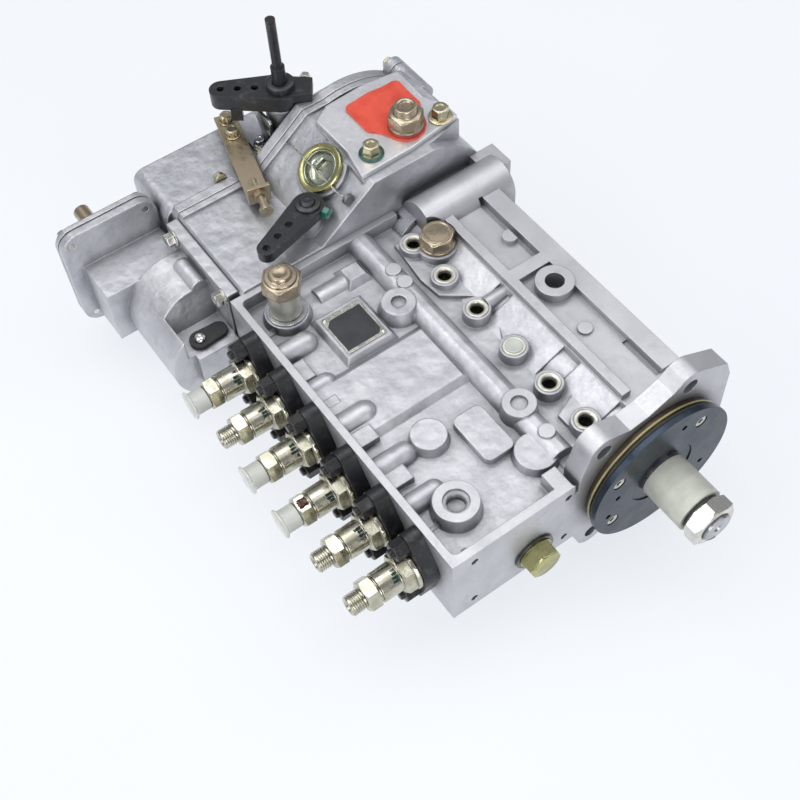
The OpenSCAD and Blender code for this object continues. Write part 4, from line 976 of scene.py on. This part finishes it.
@dataclass
class DriveEnd:
    """Camshaft end, bearing cover, seals, sleeve, nut, plugs and the fuel union."""

    cover_screws: tuple[tuple[float, float], ...] = (
        (-0.0368, 0.0231), (-0.0368, -0.0208), (0.0261, 0.0326), (0.0261, -0.0326))
    nut: float = 0.03
    rack: Point = (0.0, -0.090, -0.018)
    gallery: Point = (-0.201, -0.013, 0.0)
    union: Point = (-0.217, -0.124, 0.0)

    def build(self) -> None:
        """Adds the nut, the cover's screws, both plugs and the union."""
        Turned("shaft_hexagon", [(0.0102, 0.048), *chamfered(self.nut, 0.048, 0.0595),
                                 (0.0112, 0.0595), (0.0102, 0.0587)], (0, 0, 0), Along.X, 72,
               (Flats(self.nut, 8),)).finish(Finish.BRIGHT, "zinc", "camshaft", "shaft_nut")
        thread = Piece("shaft_thread")
        thread.helix(0.0096, 0.0015, 0.0024, 0.0004, (0.0591, 0, 0), Along.X)
        thread.finish(Finish.STEEL, "steel", "camshaft")
        self._screws()
        self._plugs()
        self._union()

    def _screws(self) -> None:
        """Socket screws of the bearing cover."""
        part = Piece("cover_socket_screws")
        head = mm((0, 0), (2.6, 0), (2.6, 9), (4.5, 9), (4.5, 11.3), (4.1, 11.7), (2.3, 11.7),
                  (1.96, 11.4), (1.96, 9.7), (0, 9.5))
        for k, (y, z) in enumerate(self.cover_screws):
            socket = Flats(0.0034, 12.0 * k, 0.0096, 0.01145, 0.0021)
            part.spin(head, (0, y, z), Along.X, 48, False, [socket])
        part.finish(Finish.SPACER, "zinc", CASING, "cover_screws")

    def _plugs(self) -> None:
        """The rack's plug on its dark washer and the brown plug of the fuel gallery."""
        Turned("rack_washer", mm((9, 0.02), (13.9, 0.02), (14.2, 0.3), (14.2, 1.7), (13.9, 1.96),
                                 (9, 1.96)), self.rack, Along.X
               ).finish(Finish.DEEP, "rubber", CASING, "screw_plugs")
        plug = Piece("rack_hexagon")
        plug.spin(mm((0, -9), (8.95, -9), (8.95, 2), (12.0, 2.02), (12.1, 2.6), (0, 2.6)),
                  self.rack, Along.X, 48, False)
        plug.hexagon(self.rack, Along.X, 0.021, 0.0025, 0.013, 20)
        plug.finish(Finish.GREEN_ZINC, "zinc", CASING, "screw_plugs")
        gallery = Piece("gallery_hexagon")
        gallery.spin(mm((0, 24.5), (7.95, 24.5), (7.95, 28.9), (12.1, 28.9), (12.5, 29.3),
                        (12.5, 30.5), (12.1, 30.9), (0, 30.9)), self.gallery, closed=False)
        gallery.hexagon(self.gallery, Along.Z, 0.022, 0.0308, 0.0389, 10)
        gallery.spin(mm((0, 38.8), (9.6, 38.8), (10, 39.1), (9.7, 39.6), (8.9, 39.7), (8.2, 39.1),
                        (0, 39.0)), self.gallery, Along.Z, 44, False)
        gallery.finish(Finish.BROWN_ZINC, "zinc", CASING, "screw_plugs")

    def _union(self) -> None:
        """Hollow bolt with a domed end on a pale spacer and a washer."""
        bolt = Piece("union_bolt")
        bolt.rod(6.95, 16, 48.1, self.union, Along.Z, 40)
        bolt.hexagon(self.union, Along.Z, 0.024, 0.048, 0.059, 20, True)
        bolt.spin(mm((0, 58.9), (10.5, 58.9), (10.5, 60.4), (10, 61), (7.9, 61.1), (7.5, 61.5),
                     (7.4, 63), (6.6, 63.9), (4.6, 64), (3.6, 63.2), (0, 63)), self.union,
                  closed=False)
        bolt.finish(Finish.BROWN_ZINC, "zinc", CASING, "fuel_union")
        Turned("union_sleeve", mm((7.1, 26.54), (10.4, 26.54), (10.8, 26.9), (10.8, 47.5),
                                  (10.4, 47.96), (7.1, 47.96)), self.union, steps=56
               ).finish(Finish.SPACER, "zinc", CASING, "fuel_union")
        Turned("union_washer", mm((7, 25), (13.3, 25), (13.6, 25.3), (13.6, 26.2), (13.3, 26.5),
                                  (7, 26.5)), self.union
               ).finish(Finish.STEEL, "zinc", CASING, "fuel_union")

    def dress(self) -> None:
        """Gives the drive end its finishes."""
        WARDROBE.dress(Finish.STEEL, "camshaft", "bearing_cups", "bearing_cones")
        WARDROBE.dress(Finish.COVER_DISC, "bearing_cover", parts=[
            (lambda c: c.x < 0.0086 and math.hypot(c.y, c.z) > 0.0498, Finish.COLLAR)])
        WARDROBE.dress(Finish.COVER_DISC, "pump_seals", parts=[
            (lambda c: c.x < 0.0049 and math.hypot(c.y, c.z) > 0.045, Finish.OLIVE),
            (lambda c: math.hypot(c.y, c.z) > 0.045 or c.x < 0.0111, Finish.RUBBER)])
        WARDROBE.dress(Finish.SLEEVE, "shaft_sleeve",
                       parts=[(lambda c: c.x > 0.04595, Finish.RUBBER)])


@dataclass
class Governor:
    """Governor castings, lid, plugs, tag and the inner linkage."""

    filler: Point = (-0.269, 0.012, 0.068)
    sight: Point = (-0.282, -0.0475, 0.053367)
    sight_lean: float = 36.254
    joint_x: float = -0.3363
    joint_screws: tuple[Point, ...] = ((-0.1006, 0.0338, 10), (-0.0345, 0.0545, 33),
                                       (-0.066, 0.0375, 21))
    tag: tuple[tuple[float, float], ...] = (
        (-0.310, -0.008), (-0.3085, -0.0108), (-0.306, -0.012), (-0.294, -0.012),
        (-0.282, -0.012), (-0.2795, -0.0108), (-0.276, -0.007), (-0.270, -0.0035),
        (-0.2625, -0.0005), (-0.257, 0.005), (-0.2552, 0.012), (-0.257, 0.019),
        (-0.2625, 0.0245), (-0.270, 0.0275), (-0.276, 0.029), (-0.2795, 0.0318),
        (-0.282, 0.033), (-0.294, 0.033), (-0.306, 0.033), (-0.3085, 0.0318),
        (-0.310, 0.029), (-0.3102, 0.010))
    wire_route: tuple[Point, ...] = (
        (-0.3224, -0.0533, 0.0520), (-0.314, -0.0534, 0.0555), (-0.300, -0.054, 0.0573),
        (-0.285, -0.054, 0.0576), (-0.268, -0.0536, 0.0572), (-0.2575, -0.0530, 0.0555),
        (-0.251, -0.0505, 0.0550))

    def build(self) -> None:
        """Adds the tag, the wire with its lead, the plugs and the joint's screws."""
        self._tag()
        self._wire()
        self._filler()
        self._sight()
        screws = Piece("joint_screws")
        for y, z, turn in self.joint_screws:
            screws.flange_bolt((self.joint_x, y, z), Along.BACK, 0.007, 0.0046, 0.0052, turn)
        screws.finish(Finish.ZINC, "zinc")

    def _filler(self) -> None:
        """The filler plug on its washer, with a red ring under it."""
        part = Piece("filler_hexagon")
        part.spin(mm((0, -14), (8.9, -14), (8.9, 3), (12, 3), (12.4, 3.4), (12.4, 4.6), (12, 5),
                     (0, 5)), self.filler, closed=False)
        part.hexagon(self.filler, Along.Z, 0.022, 0.0049, 0.014, 12)
        part.spin(mm((0, 13.9), (8.5, 13.9), (8.05, 14.5), (8, 18.8), (7.5, 19.7), (6.4, 20),
                     (5.2, 19.6), (4.4, 18.4), (0, 18.2)), self.filler, Along.Z, 44, False)
        part.finish(Finish.BROWN_ZINC, "zinc", CASING, "filler_plug")
        Turned("filler_ring", mm((9, 1.4), (12.4, 1.4), (12.8, 1.8), (12.8, 2.6), (12.4, 2.96),
                                 (9, 2.96)), self.filler
               ).finish(Finish.RED_RING, "red_plastic", CASING, "filler_plug")

    def _sight(self) -> None:
        """The sight plug: an olive ring round a bright dish with a hexagonal recess."""
        place = Matrix.Translation(self.sight) @ Matrix.Rotation(
            math.radians(self.sight_lean), 4, "X")
        Turned("sight_ring", mm((13.2, 4.02), (17.2, 4.02), (17.5, 4.4), (17.5, 6.8), (16.9, 7.5),
                                (14.4, 7.5), (13.6, 7.1), (13.2, 6.6)), place, steps=64
               ).finish(Finish.GREEN_ZINC, "zinc", CASING, "sight_plug")
        Turned("sight_core", mm((0, -6), (13.8, -6), (13.8, 4.2), (13.3, 4.2), (13.3, 6.2),
                                (12.6, 6.6), (12.0, 6.2), (11.4, 3.4), (10.4, 2.2), (8.6, 2.0),
                                (8.08, 1.6), (8.08, -2.6), (5, -3), (0, -3.2)), place, Along.Z,
               72, (Flats(0.014, 22, -0.0027, 0.00175, 0.0082),)
               ).finish(Finish.SIGHT, "zinc", CASING, "sight_plug")

    def _tag(self) -> None:
        """The red tag, a thin sheet that bends up at its far edge."""
        part = Piece("filler_tag_sheet")
        part.slab(self.tag, self.filler[2] + 0.0001, self.filler[2] + 0.0013)
        mesh = part.mesh
        for _ in range(2):
            bmesh.ops.subdivide_edges(mesh, cuts=2, use_grid_fill=True,
                                      edges=[e for e in mesh.edges if e.calc_length() > 0.004])
        cuts = [((-0.306 + i * 0.0055, 0, 0), (1, 0, 0)) for i in range(9)]
        cuts += [((0, -0.009 + i * 0.0055, 0), (0, 1, 0)) for i in range(8)]
        for at, across in cuts:
            bmesh.ops.bisect_plane(mesh, geom=[*mesh.verts, *mesh.edges, *mesh.faces],
                                   dist=MERGE, plane_co=at, plane_no=across)
        for v in mesh.verts:
            away = max(0.0, -0.288 - v.co.x) / 0.022
            v.co.z += 0.0011 * away ** 2 * (1 + 0.5 * math.sin(v.co.y * 210))
        part.finish(Finish.RED_TAG, "red_plastic", CASING, "filler_tag")

    def _wire(self) -> None:
        """Two twisted strands along the sealed route, pressed into a lead."""
        route = self._smooth(self.wire_route, 10)
        apart, twist = 0.00042, 0.85
        part = Piece("seal_strands")
        for phase in (0.0, math.pi):
            angles = [phase + i * twist for i in range(len(route))]
            part.tube([(p[0], p[1] + apart * math.cos(a), p[2] + apart * math.sin(a))
                       for p, a in zip(route, angles)], 0.00036, 6)
        part.finish(Finish.WIRE, "lead", CASING, "seal_wire")
        Turned("seal_lead", mm((0, 0), (3.4, 0), (4.2, 0.8), (4.2, 2.8), (3.4, 3.6), (2.6, 3.6),
                               (2.4, 3.2), (0, 3.2)), self.wire_route[-1], Along.X, 32
               ).finish(Finish.LEAD, "lead")

    @staticmethod
    def _smooth(points: Sequence[Point], steps: int) -> list[Point]:
        """Points on a smooth curve through others.

        Args:
            points: The points that the curve passes.
            steps: Points made for each span.

        Returns:
            The finer points.
        """
        ends = [points[0], *points, points[-1]]
        found: list[Point] = []
        for i in range(1, len(ends) - 2):
            p0, p1, p2, p3 = (Vector(ends[k]) for k in range(i - 1, i + 3))
            for s in range(steps):
                t = s / steps
                found.append(tuple(0.5 * (
                    (2 * p1) + (p2 - p0) * t + (2 * p0 - 5 * p1 + 4 * p2 - p3) * t * t
                    + (3 * p1 - p0 - 3 * p2 + p3) * t ** 3)))
        found.append(points[-1])
        return found

    def dress(self) -> None:
        """Gives the governor its finishes."""
        WARDROBE.dress(Finish.GOVERNOR, "governor_housing", "governor_cover")
        WARDROBE.dress(Finish.GASKET, "governor_gasket")
        WARDROBE.dress(Finish.LID, "governor_lid")
        WARDROBE.dress(Finish.STEEL, "weight_carrier", "flyweight_1", "flyweight_2",
                       "sliding_bolt", "fulcrum_lever", "fulcrum_pin")


@dataclass
class LeverGear:
    """Throttle lever, stop lever and the strap with its adjusting screw."""

    throttle: Matrix = turned_z((-0.2633, -0.0737, 0.046), -70.0)
    stop: Matrix = turned_z((-0.350, -0.037, 0.062), -125.0)
    strap: Matrix = turned_z((-0.3832, -0.0686, 0.0385), -15.0)
    strap_screws: tuple[tuple[float, float], ...] = ((0.007, 14), (0.022, 31))

    def build(self) -> None:
        """Adds the clamps of both levers, the bent plate and the strap's screws."""
        self._throttle()
        self._stop()
        self._plate()
        screws = Piece("strap_screws")
        for u, turn in self.strap_screws:
            place = self.strap @ Matrix.Translation((u, 0, 0.00304))
            screws.flange_bolt(place, Along.Z, 0.0082, 0.0058, 0.0062, turn)
        screws.finish(Finish.ZINC, "zinc")

    def _throttle(self) -> None:
        """Collar and domed end of the throttle shaft, and the lever's clamp screw."""
        Turned("throttle_collar", mm((5.1, 7.4), (8.6, 7.4), (8.9, 7.8), (8.7, 9.2), (7.6, 9.8),
                                     (5.4, 9.8), (5.1, 9.4)), self.throttle, steps=44
               ).finish(Finish.LEVER, "black_coat", "throttle")
        Turned("throttle_end", mm((0, 8.9), (4.95, 8.9), (4.95, 10.2), (4.2, 11), (2.2, 11.3),
                                  (1.8, 10.8), (0, 10.7)), self.throttle, steps=32
               ).finish(Finish.LEVER, "steel", "throttle")
        screw = Piece("throttle_screw")
        side = Matrix.Translation((-0.003, 0.0108, 0.00375)) @ Matrix.Rotation(
            -math.pi / 2, 4, "X")
        screw.hexagon(self.throttle @ side, Along.Z, 0.007, 0.0, 0.0045, 12)
        screw.finish(Finish.GREEN_PAINT, "zinc", "throttle")

    def _stop(self) -> None:
        """Collar on the stop lever's hub, and its clamp bolt."""
        Turned("stop_collar", mm((5.1, 11.9), (9.8, 11.9), (10.2, 12.4), (10.0, 16.4), (9.2, 17),
                                 (5.6, 17), (5.1, 16.6)), self.stop
               ).finish(Finish.LEVER, "black_coat", "stop")
        bolts = Piece("stop_bolts")
        side = Matrix.Translation((-0.0165, -0.0085, 0.0087)) @ Matrix.Rotation(
            math.pi / 2, 4, "X")
        bolts.flange_bolt(self.stop @ side, Along.Z, 0.007, 0.0045, 0.0055, 8)
        bolts.finish(Finish.BRIGHT, "zinc", "stop")

    @staticmethod
    def _plate() -> None:
        """Bent steel plate under the stop lever, with the bolt through its foot."""
        upright = Matrix.Translation((0, -0.0522, 0)) @ Matrix.Rotation(math.pi / 2, 4, "X")
        thick, bevel = 0.0025, 0.0006
        part = Piece("stop_plate")
        part.slab([(-0.3612, 0.0572), (-0.3422, 0.0572), (-0.3405, 0.0548), (-0.3425, 0.0402),
                   (-0.3425, 0.0312), (-0.3565, 0.0312), (-0.3565, 0.0402), (-0.3625, 0.0535)],
                  0.0, thick, upright, bevel)
        part.slab([(-0.3565, -0.066), (-0.3425, -0.066), (-0.3425, -0.0525), (-0.3565, -0.0525)],
                  0.0311, 0.0336, bevel=bevel)
        part.flange_bolt((-0.3495, -0.0605, 0.0336), Along.Z, 0.007, 0.0045, 0.0056, 17)
        part.finish(Finish.STEEL, "steel")

    def dress(self) -> None:
        """Gives the levers and the strap their finishes."""
        WARDROBE.dress(Finish.LEVER, "throttle_lever", "stop_lever", "stop_shaft")
        WARDROBE.dress(Finish.STEEL, "throttle_shaft")
        WARDROBE.dress(Finish.GOLD, "stop_bracket")


@dataclass
class Compensator:
    """Boost compensator with its cover, stub, screws and oval cap."""

    cap: Point = (-0.2545, -0.174, -0.005)
    joint: tuple[Point, Point] = ((-0.318, -0.151, 0.025), (-0.253, -0.151, 0.025))
    rim: tuple[Point, ...] = tuple(
        (-0.357, y, z) for y in (-0.2135, -0.1565) for z in (-0.037, 0.033))

    def build(self) -> None:
        """Adds the screws of the rim, the joint and the cap, and paint on a joint screw."""
        screws = Piece("compensator_bolts")
        for k, at in enumerate(self.rim):
            screws.flange_bolt(at, Along.BACK, 0.007, 0.0048, 0.0045, 13 * k)
            screws.rod(2.4, -11, 0.1, at, Along.BACK, 20)
        for k, at in enumerate(self.joint):
            screws.flange_bolt(at, Along.OUT, 0.009, 0.0065, 0.007, 20 * k)
            screws.rod(2.9, -8, 0.1, at, Along.OUT, 20)
        screws.spin(mm((0, -0.5), (4, 0), (4.1, 0.6), (3.9, 1.7), (3.0, 2.6), (1.5, 3.0),
                       (1.2, 2.4), (0, 2.3)), self.cap, Along.Z, 36, False)
        screws.finish(Finish.BRIGHT, "zinc", CASING, "compensator_screws")
        Turned("joint_paint", mm((0, 7.03), (3.9, 7.03), (4.3, 6.7), (4.4, 6.72), (3.95, 7.12),
                                 (0, 7.12)), self.joint[0], Along.OUT, 36
               ).finish(Finish.GREEN_PAINT, "red_plastic")

    def dress(self) -> None:
        """Gives the compensator its finishes."""
        WARDROBE.dress(Finish.COMPENSATOR, "compensator_housing", "compensator_cover")
        WARDROBE.dress(Finish.BROWN_ZINC, "boost_stub")
        WARDROBE.dress(Finish.BLACK, "oval_cap")
        WARDROBE.dress(Finish.RUBBER, "boost_diaphragm",
                       parts=[(lambda c: c.x > -0.35199, Finish.STEEL)])


@dataclass
class Studio:
    """Floor, lamps and the camera that took the photo."""

    floor_z: float = -0.0702
    floor_half: float = 3.0
    glow: float = 0.78
    sky: Colour = (0.91, 0.93, 1.0)
    sky_strength: float = 0.36
    target: Point = (-0.16, -0.06, 0.0)
    lamps: tuple[tuple[str, Point, float, float], ...] = (
        ("key", (-0.65, -0.35, 1.5), 1.3, 12.2), ("top", (-0.1, 0.75, 1.4), 1.4, 8.5),
        ("front", (-0.15, -1.35, 0.8), 0.9, 8.0), ("side", (1.2, -0.55, 0.5), 0.9, 10.5))
    eye: Point = (0.262368, -0.341014, 0.680728)
    right: Point = (0.58137861, 0.81249779, -0.04296805)
    down: Point = (0.6599518, -0.50179589, -0.55916412)
    ahead: Point = (-0.4758808, 0.29672921, -0.82794277)
    lens: float = 57.3647

    def build(self) -> None:
        """Makes the floor, the lamps, the world and the camera."""
        self._floor()
        for lamp in self.lamps:
            self._lamp(*lamp)
        world = bpy.data.worlds.new("studio")
        bpy.context.scene.world = world
        world.use_nodes = True
        back = world.node_tree.nodes["Background"]
        back.inputs["Color"].default_value = (*self.sky, 1.0)
        back.inputs["Strength"].default_value = self.sky_strength
        self._camera()
        bpy.context.scene.view_settings.view_transform = "Standard"

    def _floor(self) -> None:
        """A pale paper floor, paler to the camera and in reflections than to the lamps."""
        part = bmesh.new()
        bmesh.ops.create_grid(part, x_segments=8, y_segments=8, size=self.floor_half)
        bmesh.ops.translate(part, vec=(-0.15, -0.05, self.floor_z), verts=part.verts)
        data = bpy.data.meshes.new("floor")
        part.to_mesh(data)
        part.free()
        floor = bpy.data.objects.new("floor", data)
        bpy.context.scene.collection.objects.link(floor)
        g = Graph("floor_paper")
        rays = g.tree.nodes.new("ShaderNodeLightPath").outputs
        seen = g.math("MAXIMUM", rays["Is Camera Ray"],
                      g.math("MAXIMUM", rays["Is Transmission Ray"], rays["Is Glossy Ray"]))
        tone = g.mix(g.ramp(g.noise(2.2, 2.0), 0.3, 0.7), (0.85, 0.885, 0.935),
                     (0.875, 0.91, 0.955))
        base = g.mix(seen, (0.45, 0.46, 0.49), (0.22, 0.222, 0.225))
        data.materials.append(g.surface(
            Base_Color=base, Roughness=0.9, Specular_IOR_Level=0.0, Emission_Color=tone,
            Emission_Strength=g.math("MULTIPLY", seen, self.glow)))

    def _lamp(self, name: str, at: Point, size: float, power: float) -> None:
        """A square soft lamp that looks at the pump.

        Args:
            name: Its name.
            at: Its place.
            size: Its side.
            power: Its power in watts.
        """
        lamp = bpy.data.lights.new(name, "AREA")
        lamp.size = size
        lamp.energy = power
        obj = bpy.data.objects.new(name, lamp)
        obj.location = at
        look = Vector(self.target) - Vector(at)
        obj.rotation_euler = look.to_track_quat("-Z", "Y").to_euler()
        bpy.context.scene.collection.objects.link(obj)

    def _camera(self) -> None:
        """The camera at the photo's place, turn and lens."""
        data = bpy.data.cameras.new("photo_camera")
        data.lens = self.lens
        data.sensor_width = 36.0
        data.clip_start = 0.01
        obj = bpy.data.objects.new("photo_camera", data)
        turn = Matrix((self.right, -Vector(self.down), -Vector(self.ahead)))
        obj.matrix_world = Matrix.Translation(self.eye) @ turn.transposed().to_4x4()
        bpy.context.scene.collection.objects.link(obj)
        bpy.context.scene.camera = obj


def main() -> None:
    """Builds and dresses every sub-assembly, then the studio."""
    logging.basicConfig(level=logging.INFO, format="%(name)s: %(message)s")
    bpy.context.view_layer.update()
    for part in (PumpHousing(), DeliveryRow(), DriveEnd(), Governor(), LeverGear(), Compensator()):
        part.build()
        part.dress()
        LOG.info("%s is done", type(part).__name__)
    Studio().build()


if __name__ == "__main__":
    main()
